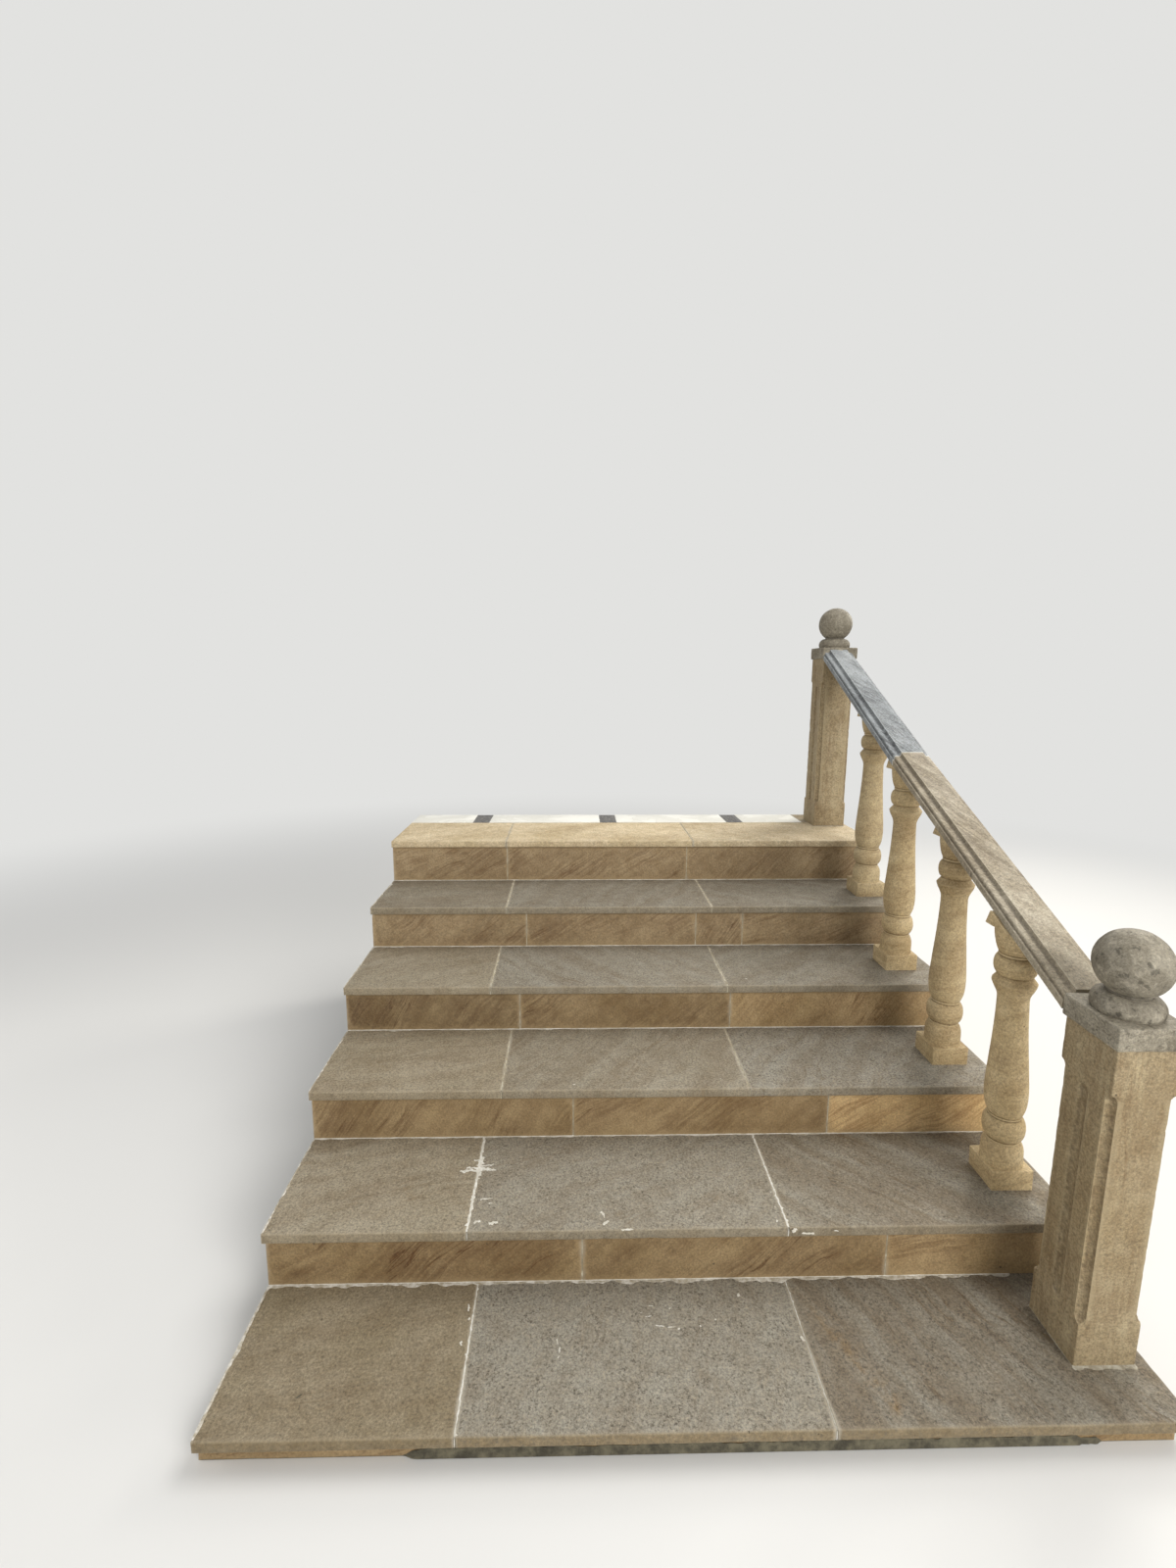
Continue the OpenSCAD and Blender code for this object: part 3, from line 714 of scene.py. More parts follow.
ON_EDGE = 1e-5
FINE_EASE, LONG_EDGE = 0.0008, 0.015
EDGE_REACH = 0.009


def close_to(a, b):
    return abs(a - b) < ON_EDGE


def sawn_slab(name, low, high, ease, ease_where, pitch, seed, wear_depth=0.0006, film=0.013, **numbers):
    """A stone slab with eased edges, loops cut along it, worn arrises and its own numbers."""
    made = block(name, low, high)
    bpy.ops.object.mode_set(mode="EDIT")
    bevel_edges(lambda a, b: ease_where(a) and ease_where(b), ease, 3)

    def long_arris(a, b):
        return (a - b).length > LONG_EDGE and edge_distance((a + b) / 2, low, high) < ON_EDGE

    bevel_edges(long_arris, FINE_EASE, 1)
    cut_along(0, pitch)
    cut_along(1, pitch * 2)
    cut_along(2, pitch * 2)
    bpy.ops.object.mode_set(mode="OBJECT")
    nick(made, low, high, ease * 1.05, wear_depth, seed)
    write_numbers(
        made, slab_seed=seed,
        edge=lambda p: max(0.0, 1 - edge_distance(p, low, high) / EDGE_REACH),
        joint=lambda p: max(0.0, 1 - min(p.x - low.x, high.x - p.x) / film),
        **numbers,
    )
    return made


# %% [markdown]
# Each tread is three slabs of sandstone 24 mm thick that stand out 20 mm over the riser below.
# The front edges are eased most, because a foot meets them there. The slabs differ: some are
# greyer, and their beds run across them at their own angle, so each gets numbers chosen
# from the photograph.

# %% Treads
# Greyness, bedding angle in degrees, tone and extra veins of the three slabs of each tread
TREAD_LOOKS = {
    1: [(0.10, 80, -0.13, -0.2), (0.90, 20, 0.0, -0.6), (0.85, -23, -0.12, 1.0)],
    2: [(0.45, 72, 0.08, 0.1), (0.85, 62, 0.05, -0.1), (0.80, -48, 0.0, 0.8)],
    3: [(0.35, 78, 0.06, 0.1), (0.60, 35, 0.02, 0.2), (0.95, 40, 0.06, 0.3)],
    4: [(0.45, 65, 0.02, 0.1), (0.85, -40, -0.02, 0.2), (0.80, 50, -0.06, 0.2)],
    5: [(0.60, 80, -0.14, 0.1), (0.80, 25, -0.10, 0.2), (0.80, -60, -0.16, 0.2)],
    # The top tread is made much lighter and less grey than the others: a painted pool of sunlight.
    6: [(0.05, 70, 1.05, -0.3), (0.05, 60, 1.05, -0.3), (0.15, -45, 0.95, -0.1)],
}
# How much the front face of each tread is darkened, from the lowest: golden stone colour and painted shade on
# the upright face
FRONT_TONE_AND_SHADE = {1: 1.2, 2: 0.35, 3: 0.05, 4: 0.15, 5: 0.2, 6: 0.2}
SLAB_EASE, SLAB_PITCH = 3 * MM, 0.009
# How far each slab reaches into its joints, so that the gaps are as narrow as the real ones
CREEP, RISER_CREEP = 1.4 * MM, 1.6 * MM
FRONT_REACH, STREAK_REACH = 0.003, 0.013


def into_joints(boxes, creep=CREEP):
    """Boxes of a row of slabs, each brought closer to its neighbours."""
    closer = []
    for k, (low, high) in enumerate(boxes):
        left, right = (creep if k else 0.0), (creep if k < len(boxes) - 1 else 0.0)
        closer.append((low - Vector((left, 0, 0)), high + Vector((right, 0, 0))))
    return closer


def ochre_streak(point):
    """Strength of the long ochre streak in the right slab of the lowest tread."""
    start, end = at(1200, 305, 64), at(1316, 40, 64)
    run = end - start
    share = min(1.0, max(0.0, (point - start).dot(run) / run.length_squared))
    return math.exp(-((point - start - run * share).length / STREAK_REACH) ** 2) * (0.35 + 0.65 * share)


def tread_stone(step):
    slabs = []
    boxes = into_joints(boxes_of(f"tread_{step}"))
    for k, (low, high) in enumerate(boxes):
        grey, turn, tone, veins = TREAD_LOOKS[step][k]
        last = k == len(boxes) - 1

        def eased(p, low=low, high=high, last=last):
            return close_to(p.y, low.y) or (last and close_to(p.x, high.x))

        # Golden tone and painted shade on the tread's front face, over its first few millimetres.
        def front_tone_and_painted_shade(p, front=low.y):
            return FRONT_TONE_AND_SHADE[step] * max(0.0, 1 - (p.y - front) / FRONT_REACH)

        slabs.append(sawn_slab(
            f"slab_{step}_{k}", low, high, SLAB_EASE, eased, SLAB_PITCH, step * 7.3 + k * 2.9,
            slab_turn=math.radians(turn), slab_grey=grey, slab_tone=tone, slab_veins=veins,
            slab_front=front_tone_and_painted_shade, slab_ochre=ochre_streak if (step, k) == (1, 2) else 0.0,
        ))
    made = smooth(join(f"tread_{step}_slabs", slabs))
    return settle(made, TREAD_STONE, "tread_stone", f"tread_{step}")


for step in range(1, 7):
    tread_stone(step)

# %% [markdown]
# The risers stand on the treads. They keep their golden colour because no foot touches them,
# and that gold stands partly for painted warm light thrown up from the treads. Their beds slant
# across them. The low plinth under the bottom slab is the same stone.

# %% Risers and plinth
# Bedding angle, tone and extra veins of each riser's slabs, from the plinth up
RISER_LOOKS = [
    [(-75, 0.0, -0.4), (-70, 0.0, -0.4), (-80, 0.0, -0.4)],
    # The right-hand slabs of the second, third and fourth risers are lightened as painted sunlight, the
    # third's most.
    [(-48, -0.08, 0.6), (-46, -0.12, 0.3), (-84, 0.06, -0.4)],
    [(-30, -0.10, 0.2), (-52, -0.08, 0.2), (-62, 0.85, -0.7)],
    [(-36, -0.30, 0.3), (-50, -0.20, 0.2), (-40, 0.15, 0.0)],
    [(-50, -0.04, 0.0), (-60, -0.02, 0.0), (-30, -0.02, 0.0), (-70, 0.0, 0.0)],
    [(-65, 0.0, -0.2), (-55, 0.0, -0.2), (-40, 0.0, -0.2)],
]


RISER_EASE, UPRIGHT_PITCH = 0.0012, 0.02


def riser_stone(number, node):
    slabs = []
    for k, (low, high) in enumerate(into_joints(boxes_of(node), RISER_CREEP)):
        turn, tone, veins = RISER_LOOKS[number - 1][k]
        slabs.append(sawn_slab(
            f"riser_slab_{number}_{k}", low, high, RISER_EASE, lambda p: True, UPRIGHT_PITCH,
            number * 5.1 + k * 3.3, wear_depth=0.0003, film=0.005, slab_turn=math.radians(turn),
            slab_tone=tone, slab_veins=veins, slab_grey=0.12 if number > 4 else 0.0,
        ))
    return settle(smooth(join(node + "_slabs", slabs)), RISER_STONE, "riser_stone", node)


riser_stone(1, "plinth_course")
for number in range(2, 7):
    riser_stone(number, f"riser_{number}")

# %% [markdown]
# The open flank is faced with slabs in courses, one course to each step.

# %% Flank facing
FLANK_EASE = 0.0015
for course in range(1, 7):
    node = f"flank_course_{course}"
    slabs = []
    for k, (low, high) in enumerate(boxes_of(node)):
        slabs.append(sawn_slab(
            f"facing_{course}_{k}", low, high, FLANK_EASE, lambda p: True, UPRIGHT_PITCH,
            course * 4.7 + k * 6.1, wear_depth=0.0004, slab_tone=0.06 * math.sin(course * 5 + k * 2),
            slab_turn=math.radians(60 + 25 * math.sin(course * 3 + k)),
        ))
    settle(smooth(join(node + "_slabs", slabs)), FLANK_STONE, "flank_stone", node)

# %% [markdown]
# Grout was pressed into the joints by hand and wiped, so it stands in uneven beads, with lumps
# and smears on the stone beside it. A bead could be a curve with a round bevel, but its width
# would hardly change. Here a fine grid is laid along the joint, its two long edges are moved by
# noise, its back is raised a little, and a Solidify modifier closes it underneath.

# %% Beads and smears of mortar
THINNEST, END_TAPER = 0.0003, 0.004
MORTAR_DEPTH = 0.0015


def wander(base, play, grain, seed, lumps=0.0):
    """A width that changes along a joint: slow and quick noise round a base, and a few lumps."""
    def changing(run, pace, row):
        return noise.noise(Vector((run / grain * pace, seed, row)))

    def width(run):
        quick = changing(run, 3.1, 5) + 0.5 * changing(run, 8.7, 6)
        lump = max(0.0, changing(run, 1.7, 9) - 0.28)
        return max(THINNEST, base + play * (changing(run, 1, 0) + 0.5 * quick) + lumps * lump)
    return width


def spread(name, start, along, out, length, low, high, rise, step=0.004, rows=5):
    """A layer of mortar on a flat face, with ragged edges `low` and `high` and a raised back."""
    nothing_selected()
    along, out = Vector(along), Vector(out)
    across = out.cross(along)
    columns = max(2, round(length / step))
    bpy.ops.mesh.primitive_grid_add(x_subdivisions=columns, y_subdivisions=rows, size=1.0)
    made = bpy.context.object
    made.name = name
    for vertex in made.data.vertices:
        run, share = (vertex.co.x + 0.5) * length, vertex.co.y + 0.5
        ends = max(min(1.0, run / END_TAPER, (length - run) / END_TAPER), 0.0)
        inner, outer = low(run), high(run)
        middle = (inner + outer) / 2
        side = middle + (inner + (outer - inner) * share - middle) * (0.3 + 0.7 * ends)
        vertex.co = start + along * run + across * side + out * (rise(run, share) * ends - THINNEST)
    solid = made.modifiers.new("closed", "SOLIDIFY")
    solid.thickness = MORTAR_DEPTH
    solid.offset = -1.0
    bpy.ops.object.modifier_apply(modifier="closed")
    bpy.ops.object.mode_set(mode="EDIT")
    bpy.ops.mesh.select_all(action="SELECT")
    bpy.ops.mesh.normals_make_consistent(inside=False)
    bpy.ops.object.mode_set(mode="OBJECT")
    return made


def domed(height, seed):
    """The rounded back of a bead, a little uneven along its length."""
    def rise(run, share):
        uneven = 0.75 + 0.5 * noise.noise(Vector((run / 0.009, share * 2, seed)))
        return height * uneven * math.sqrt(max(0.0, 1 - (2 * share - 1) ** 2))
    return rise


X_AXIS, Y_AXIS, Z_AXIS = Vector((1, 0, 0)), Vector((0, 1, 0)), Vector((0, 0, 1))

# %% [markdown]
# The joints of each tread get a bead between two slabs, from the riser above to the nosing and
# down its face. The left joints of the two lowest treads were filled more generously.

# %% Grout in the tread and riser joints
# Half width, play and lumps of the two beads of each tread, in millimetres
TREAD_BEADS = {
    1: [(1.6, 2.4, 14), (0.6, 0.8, 8)],
    2: [(3.2, 3.4, 20), (1.8, 2.4, 16)],
    3: [(1.2, 2.0, 16), (1.0, 1.8, 14)],
    4: [(1.2, 2.0, 16), (0.8, 1.6, 14)],
    5: [(1.0, 1.6, 12), (1.0, 1.6, 14)],
    6: [(0.8, 0.9, 6), (0.7, 0.8, 5)],
}
BEAD_GRAIN, BEAD_STEP, BEAD_START = 0.013, 0.003, 0.002
BEAD_RISE, FACE_RISE, RISER_RISE = 0.0009, 0.0005, 0.0006
RISER_BACK = 25 * MM
beads, upper_beads, riser_beads = [], [], []
for step in range(1, 7):
    slabs = boxes_of(f"tread_{step}")
    back = slabs[0][1].y - (RISER_BACK if step < 6 else 0.0)
    row = beads if step < 3 else upper_beads
    for k, (half, play, lumps) in enumerate(TREAD_BEADS[step]):
        x = (slabs[k][1].x + slabs[k + 1][0].x) / 2
        front, top, foot = slabs[k][0].y, slabs[k][1].z, slabs[k][0].z
        seed = step * 3.1 + k
        left = wander(half * MM, play * MM, BEAD_GRAIN, seed, lumps * MM)
        right = wander(half * MM, play * MM, BEAD_GRAIN, seed + 40, lumps * MM)
        row.append(spread(
            f"bead_{step}_{k}", Vector((x, front + BEAD_START, top)), Y_AXIS, Z_AXIS,
            back - front - BEAD_START, lambda s: -left(s), right, domed(BEAD_RISE, seed), BEAD_STEP,
        ))
        face = wander(1.0 * MM, 0.6 * MM, 0.01, seed)
        row.append(spread(
            f"bead_face_{step}_{k}", Vector((x, front, foot + BEAD_START)), Z_AXIS, -Y_AXIS,
            top - foot - 2 * BEAD_START, lambda s: -face(s), face, domed(FACE_RISE, seed), BEAD_STEP,
        ))
    risers = boxes_of("plinth_course" if step == 1 else f"riser_{step}")
    for k in range(len(risers) - 1):
        x = (risers[k][1].x + risers[k + 1][0].x) / 2
        low, high = risers[k]
        face = wander(0.8 * MM, 0.6 * MM, 0.02, step * 2.3 + k, 3 * MM)
        riser_beads.append(spread(
            f"bead_riser_{step}_{k}", Vector((x, low.y, low.z)), Z_AXIS, -Y_AXIS, high.z - low.z,
            lambda s: -face(s), face, domed(RISER_RISE, k), BEAD_STEP,
        ))
settle(smooth(join("joint_grout", beads), 60), GROUT, "grout")
settle(smooth(join("upper_joint_grout", upper_beads), 60), IVORY_GROUT, "grout")
settle(smooth(join("riser_joint_grout", riser_beads), 60), IVORY_GROUT, "grout")

# %% [markdown]
# Where a riser stands on its tread there is a thin white line of grout, and in front of it a
# ragged smear where the surplus was wiped off. The lowest riser has the most of it.

# %% Grout along the feet of the risers
WIPED_SHARE_LOWEST, WIPED_SHARE = 0.93, 0.985
SMEAR_BACK, SMEAR_START = 0.0003, 0.004
FOOT_SMEAR_RISE, END_SMEAR_RISE = 0.0007, 0.0009


def wiped(name, start, along, length, width, height):
    """A thin smear wiped away from a joint, thick at once and ragged at its far edge."""
    return spread(name, start, along, Z_AXIS, length, lambda s: -width(s), lambda s: SMEAR_BACK,
                  lambda s, share: height * min(1, share * 5))


lines, smears = [], []
for step in range(2, 7):
    risers = boxes_of(f"riser_{step}")
    left, front, top = risers[0][0]
    lowest = step == 2
    length = (WIPED_SHARE_LOWEST if lowest else WIPED_SHARE) * (risers[-1][1].x - left)
    amount = 1.0 if lowest else 0.45
    foot = Vector((left, front, top))
    line = wander(1.5 * MM, 1.6 * MM, 0.03, step, 8 * MM * amount)
    lines.append(spread(f"foot_line_{step}", foot, X_AXIS, Z_AXIS, length, lambda s: -line(s),
                        lambda s: 0.0005, lambda s, share: 0.0022 * share ** 1.5, rows=4))
    width = wander(7 * MM * amount, 16 * MM * amount, 0.10, step + 20, 24 * MM * amount)
    smears.append(wiped(f"foot_smear_{step}", foot, X_AXIS, length, width, FOOT_SMEAR_RISE))
    tread_low, tread_high = boxes_of(f"tread_{step - 1}")[0]
    width = wander((5 if lowest else 2) * MM, 8 * MM, 0.07, step + 60, 20 * MM)
    corner = Vector((tread_low.x, tread_low.y + SMEAR_START, tread_high.z))
    length = front - tread_low.y - SMEAR_START
    smears.append(wiped(f"end_smear_{step}", corner, Y_AXIS, length, width, END_SMEAR_RISE))
settle(smooth(join("riser_foot_grout", lines), 60), GROUT, "grout")

# %% [markdown]
# Spatters and brush marks lie where the grout was worked in: a cross-shaped smear and small blobs
# beside the left joint of the second tread, a curved scratch of mortar on the lowest one, and a
# few drops.

# %% Spatters of grout
# Place on the flight, half length and half width of each, all in millimetres, and its turn in degrees
SPATTERS = [
    (478, 340, 211.5, 10, 7, 10), (515, 335, 211.5, 13, 7, 20), (491, 410, 211.5, 18, 3, 8),
    (502, 396, 211.5, 7, 4, 0), (635, 409, 211.5, 4, 3, 0), (766, 356, 211.5, 4, 13, 20),
    (772, 332, 211.5, 11, 6, 35), (819, 312, 211.5, 14, 3, 2), (458, 506, 211.5, 48, 5, 1),
    (446, 514, 211.5, 22, 6, -6), (424, 501, 211.5, 9, 5, 0), (462, 528, 211.5, 30, 9, 88),
    (478, 524, 211.5, 20, 4, 8), (476, 513, 211.5, 16, 6, -4), (452, 544, 211.5, 12, 5, 15),
    (464, 498, 211.5, 14, 7, 80), (1224, 294, 211.5, 14, 3, 0), (1196, 303, 211.5, 8, 5, 40),
    (1165, 330, 211.5, 6, 3, 60), (1172, 372, 211.5, 5, 3, 70), (1176, 420, 211.5, 4, 3, 80),
    (1290, 300, 211.5, 5, 2, 0), (664, 182, 64, 1.6, 9, 8), (669, 164, 64, 1.6, 9, -4),
    (667, 149, 64, 1.5, 6, -20), (861, 237, 64, 9, 1.6, 10), (884, 214, 64, 12, 1.8, -8),
    (908, 211, 64, 10, 2.2, 5), (924, 207, 64, 5, 4, 0), (911, 255, 64, 5, 2.5, 30),
    (971, 212, 64, 4, 4, 0), (1006, 226, 64, 3, 5, 10), (1070, 285, 64, 6, 6, 0),
    (1181, 180, 64, 5, 8, 20), (870, 262, 64, 8, 1.4, -15), (846, 246, 64, 5, 1.5, 10),
    (90, 339, 211.5, 3, 3, 0), (463, 182, 64, 4, 8, 0), (466, 265, 64, 5, 11, 10),
    (471, 238, 64, 4, 5, 0), (700, 640, 359, 6, 3, 20), (1100, 660, 359, 5, 3, 0),
    (520, 950, 506.5, 5, 3, 10), (1240, 968, 506.5, 6, 3, 0),
]


def brush_mark(name, place, half_length, half_width, turn, seed):
    """A short ragged stroke of grout. Its long side lies along its turn."""
    if half_width > half_length:
        half_length, half_width, turn = half_width, half_length, turn + 90
    along = Matrix.Rotation(math.radians(turn), 3, "Z") @ X_AXIS
    sides = [wander(half_width * 0.75, half_width * 0.9, 0.006, seed + k * 30) for k in (0, 1)]
    return spread(name, place - along * half_length, along, Z_AXIS, half_length * 2,
                  lambda s: -sides[0](s), sides[1], domed(0.0007, seed), 0.0012, 4)


drops = [brush_mark(f"drop_{k}", at(x, y, z), a * MM, b * MM, turn, k * 1.7)
         for k, (x, y, z, a, b, turn) in enumerate(SPATTERS)]
settle(smooth(join("grout_spatters", drops), 60), GROUT, "grout")

# %% [markdown]
# Under the lowest slab the bedding mortar was pressed against the plinth. It is dark grey-green,
# and its darkness is partly painted shade under the nosing. Its top is ragged: the golden plinth
# still shows at both ends and in a thin strip above it.

# %% Dark mortar and painted shade against the plinth
plinth = boxes_of("plinth_course")
plinth_left, plinth_front = plinth[0][0].x, plinth[0][0].y
PLINTH_H = plinth[0][1].z
# Where the dark mortar starts and ends along the plinth, and its full thickness
DARK_MORTAR_FROM, DARK_MORTAR_TO, DARK_MORTAR_LENGTH = 0.36, 1.70, 1.84
DARK_MORTAR_FOOT, DARK_MORTAR_FULL_HEIGHT, DARK_MORTAR_THICKNESS = 0.0015, 0.014, 0.007


def noise_at(*place):
    """Noise at a place given by its numbers."""
    return noise.noise(Vector(place))


def dark_mortar_top(run):
    """Height of the dark mortar along the plinth."""
    uneven = 4.5 * MM * noise_at(run / 0.07, 3, 0) + 1.6 * MM * noise_at(run / 0.013, 8, 0)
    ragged = 0.04 * noise_at(run / 0.03, 1, 4)
    left = min(1.0, max(0.0, (run - DARK_MORTAR_FROM + ragged) / 0.05))
    right = min(1.0, max(0.0, (DARK_MORTAR_TO - run + ragged) / 0.03))
    return max(0.001, (PLINTH_H - 0.024) * left * right + (0.4 + left * right) * uneven)


def dark_mortar_rise(run, share):
    """Thickness of the dark mortar: a fillet at its foot, thin and lumpy above and where it is low."""
    lumpy = 0.0022 * share * noise_at(run / 0.02, share * 3, 1)
    return min(1.0, dark_mortar_top(run) / DARK_MORTAR_FULL_HEIGHT) * (DARK_MORTAR_THICKNESS * (1 - 0.75 * share) + lumpy)


dark_mortar_start = Vector((plinth_left, plinth_front, DARK_MORTAR_FOOT))
dark_mortar_sheet = spread("dark_mortar_and_painted_shade", dark_mortar_start, X_AXIS, -Y_AXIS, DARK_MORTAR_LENGTH, lambda s: 0.0, dark_mortar_top, dark_mortar_rise,
              0.006, 8)
mark = wander(1.6 * MM, 0.8 * MM, 0.006, 12)
dark_mark = spread("dark_mark", at(160, 75, 64), Vector((0.74, 0.67, 0)), Z_AXIS, 0.016,
                   lambda s: -mark(s), mark, lambda s, share: 0.0005, 0.002, 4)
settle(smooth(join("dark_mortar_and_painted_shade", [dark_mortar_sheet, dark_mark]), 60), MORTAR_AND_PAINTED_SHADE, "grout")
ledge = Vector((plinth_left + 0.45, plinth_front, PLINTH_H - 0.012))
ledge_top = wander(8 * MM, 3 * MM, 0.05, 4)
smears.append(spread("ledge_smear", ledge, X_AXIS, -Y_AXIS, 1.2, lambda s: 0.0, ledge_top,
                     lambda s, share: 0.0022 + 0.001 * noise_at(s / 0.02, share, 4), 0.006, 4))

# %% [markdown]
# Carved stones weather on their convex parts. Instead of painting that by hand, the next helper
# measures each vertex: if its neighbours lie below the plane through it, it is on an arris, and
# if they lie above, it is in a hollow. The arrises then lose small chips, and both measures are
# stored for the material.

# %% Weathering of carved stones
def bend_of(made):
    """How convex and how hollow the surface is at each vertex, from 0 to 1."""
    mesh = bmesh.new()
    mesh.from_mesh(made.data)
    mesh.normal_update()
    edge, hollow = [], []
    for vertex in mesh.verts:
        spokes = [(e.other_vert(vertex).co - vertex.co).normalized() for e in vertex.link_edges]
        rises = [spoke.dot(vertex.normal) for spoke in spokes]
        mean = sum(rises) / len(rises)
        edge.append(min(1.0, max(0.0, -mean / 0.3)))
        hollow.append(min(1.0, max(0.0, mean / 0.12)))
    mesh.free()
    return edge, hollow


def weather(made, seed, lumps=0.0002, chips=0.0016, grain=45.0, **numbers):
    """Makes a carved surface a little uneven, chips its arrises and stores its wear."""
    edge, hollow = bend_of(made)
    normals = [vertex.normal.copy() for vertex in made.data.vertices]
    for vertex, normal, sharp in zip(made.data.vertices, normals, edge):
        place = vertex.co + Vector((seed, -seed, seed * 0.5))
        uneven = lumps * (noise.noise(place * grain) + 0.6 * noise.noise(place * grain * 3))
        chip = max(0.0, noise.noise(place * grain * 1.3) + 0.3 * noise.noise(place * grain * 4) - 0.22)
        vertex.co += normal * (uneven - chips * sharp * (0.15 + 2.2 * chip))
    write_numbers(made, edge=edge, hollow=hollow, slab_seed=seed, **numbers)
    return smooth(made, 40)


# %% [markdown]
# The newel is a square post with a hollow moulding along each corner and a flute up each side
# face. Both stop short of the ends in a rounded hollow, as a chisel leaves them. Booleans could
# cut them, but would leave no clean rings of edges for the wear. So the block is sliced into
# rings and columns that crowd where the hollows come, and each vertex is pressed into the curve
# of its hollow. The post is shaped upright, then leant as the real one leans, and cut level.

# %% Newel shafts
NEWEL_W, NEWEL_D, NEWEL_H = 129 * MM, 137 * MM, 696 * MM
COVE_R, FLUTE_W, FLUTE_DEPTH = 14 * MM, 26 * MM, 7 * MM
FOOT_H, NECK_H = 100 * MM, 94 * MM
ARRIS, ARRIS_CORNER = 2.5 * MM, 0.29
BELOW_FOOT = 15 * MM
FLUTE_R = (FLUTE_W ** 2 / 4 + FLUTE_DEPTH ** 2) / (2 * FLUTE_DEPTH)
# Millimetres from a corner, from a face's middle line and from a hollow's stop at which the block is sliced
CORNER_SLICES, FRONT_SLICES, FLUTE_SLICES = (1.5, 3.5, 7, 10.5, 14), (-25, 0, 25), (4, 8, 11, 13, 30, 42)
STOP_SLICES, SHAFT_PITCH = (0.3, 2.5, 5, 9, 14), 6.5 * MM


def past_run(z, low, high):
    """How far a height lies outside the straight run of a hollow."""
    return max(low - z, z - high, 0.0)


def into_shaft(point, height):
    """How far a point of the square block goes in, across and along the flight."""
    from_side, from_front = NEWEL_W / 2 - abs(point.x), NEWEL_D / 2 - abs(point.y)
    on_side, on_front = from_side < 1e-6, from_front < 1e-6
    if not (on_side or on_front):
        return 0.0, 0.0
    along = from_front if on_side else from_side
    top = height - NECK_H
    beyond = past_run(point.z, FOOT_H + COVE_R, top - COVE_R)
    reach = math.sqrt(max(COVE_R ** 2 - beyond ** 2, 0.0))
    if along < reach - 1e-6:
        share = math.radians(45) * along / reach
        angle = math.radians(45) + (share if on_side else -share)
        sideways, forwards = reach * math.cos(angle), reach * math.sin(angle)
        return (sideways, forwards - from_front) if on_side else (sideways - from_side, forwards)
    if reach == 0.0 and along < ARRIS:
        if on_side and on_front:
            return ARRIS_CORNER * ARRIS, ARRIS_CORNER * ARRIS
        give = ARRIS - math.sqrt(ARRIS ** 2 - (ARRIS - along) ** 2)
        return (give, 0.0) if on_side else (0.0, give)
    if on_side:
        beyond = past_run(point.z, FOOT_H + FLUTE_R, top - COVE_R - FLUTE_R)
        round_part = FLUTE_R ** 2 - point.y ** 2 - beyond ** 2
        if round_part > 0:
            return max(0.0, math.sqrt(round_part) - FLUTE_R + FLUTE_DEPTH), 0.0
    return 0.0, 0.0


def newel_shaft(post, foot, height, lean, lean_axis, seed):
    half_w, half_d = NEWEL_W / 2, NEWEL_D / 2
    made = block(f"{post}_newel_post", (-half_w, -half_d, -BELOW_FOOT), (half_w, half_d, height))
    bpy.ops.object.mode_set(mode="EDIT")
    corners_x = [s * (half_w - c * MM) for s in (-1, 1) for c in CORNER_SLICES]
    corners_y = [s * (half_d - c * MM) for s in (-1, 1) for c in CORNER_SLICES]
    slice_at(0, corners_x + [x * MM for x in FRONT_SLICES])
    slice_at(1, corners_y + [s * y * MM for s in (-1, 1) for y in FLUTE_SLICES] + [0.0])
    cut_along(2, SHAFT_PITCH)
    cove_top = height - NECK_H
    stops = [FOOT_H + d * MM for d in STOP_SLICES]
    stops += [cove_top - d * MM for d in STOP_SLICES]
    stops += [cove_top - COVE_R - d * MM for d in STOP_SLICES[:-1]]
    slice_at(2, stops)
    bpy.ops.object.mode_set(mode="OBJECT")
    for vertex in made.data.vertices:
        point = vertex.co.copy()
        give_x, give_y = into_shaft(point, height)
        vertex.co.x -= math.copysign(give_x, point.x)
        vertex.co.y -= math.copysign(give_y, point.y)
        if give_x + give_y > 1.5 * MM:
            vertex.co.x += 0.5 * MM * noise.noise(point * 150 + Vector((seed, 0, 0)))
            vertex.co.y += 0.5 * MM * noise.noise(point * 150 + Vector((0, seed, 0)))
    weather(made, seed, lumps=0.00022, chips=0.0013, slab_tone=-0.03)
    made.data.transform(Matrix.Translation(foot) @ Matrix.Rotation(math.radians(lean), 4, lean_axis))
    keep_one_side(made, foot, (0, 0, 1))
    return settle(smooth(made, 40), SHAFT_STONE, "newel_stone", f"{post}_newel_shaft")


# Foot, height, lean in degrees, lean axis and seed of the two posts
NEWELS = {
    "lower": (at(1774.5, 179, 64), NEWEL_H, 0.8, "X", 3.7),
    "upper": (at(1785.5, 1858.5, 814), NEWEL_H + 5 * MM, 0.4, "Y", 8.2),
}
for post, (foot, height, lean, lean_axis, seed) in NEWELS.items():
    newel_shaft(post, foot, height, lean, lean_axis, seed)

# %% [markdown]
# Each newel carries a square cap and a ball finial. The cap is a block with eased edges, sliced
# finely enough for its arrises to chip. The finial is turned: its outline is drawn point by point
# from the axis, as a bun with a narrow quirk over it and the ball above, and spun round.

# %% Caps
CAP_T, CAP_OVER, CAP_EASE = 46 * MM, 6 * MM, 3 * MM
CAP_SLICES, CAP_LAYERS = 22, 7


def upright_place(post, z):
    """Matrix that takes a stone modelled round the axis to its height on a leaning newel."""
    foot, height, lean, lean_axis, _ = NEWELS[post]
    leant = Matrix.Rotation(math.radians(lean), 4, lean_axis)
    return Matrix.Translation(foot) @ leant @ Matrix.Translation((0, 0, height + z))


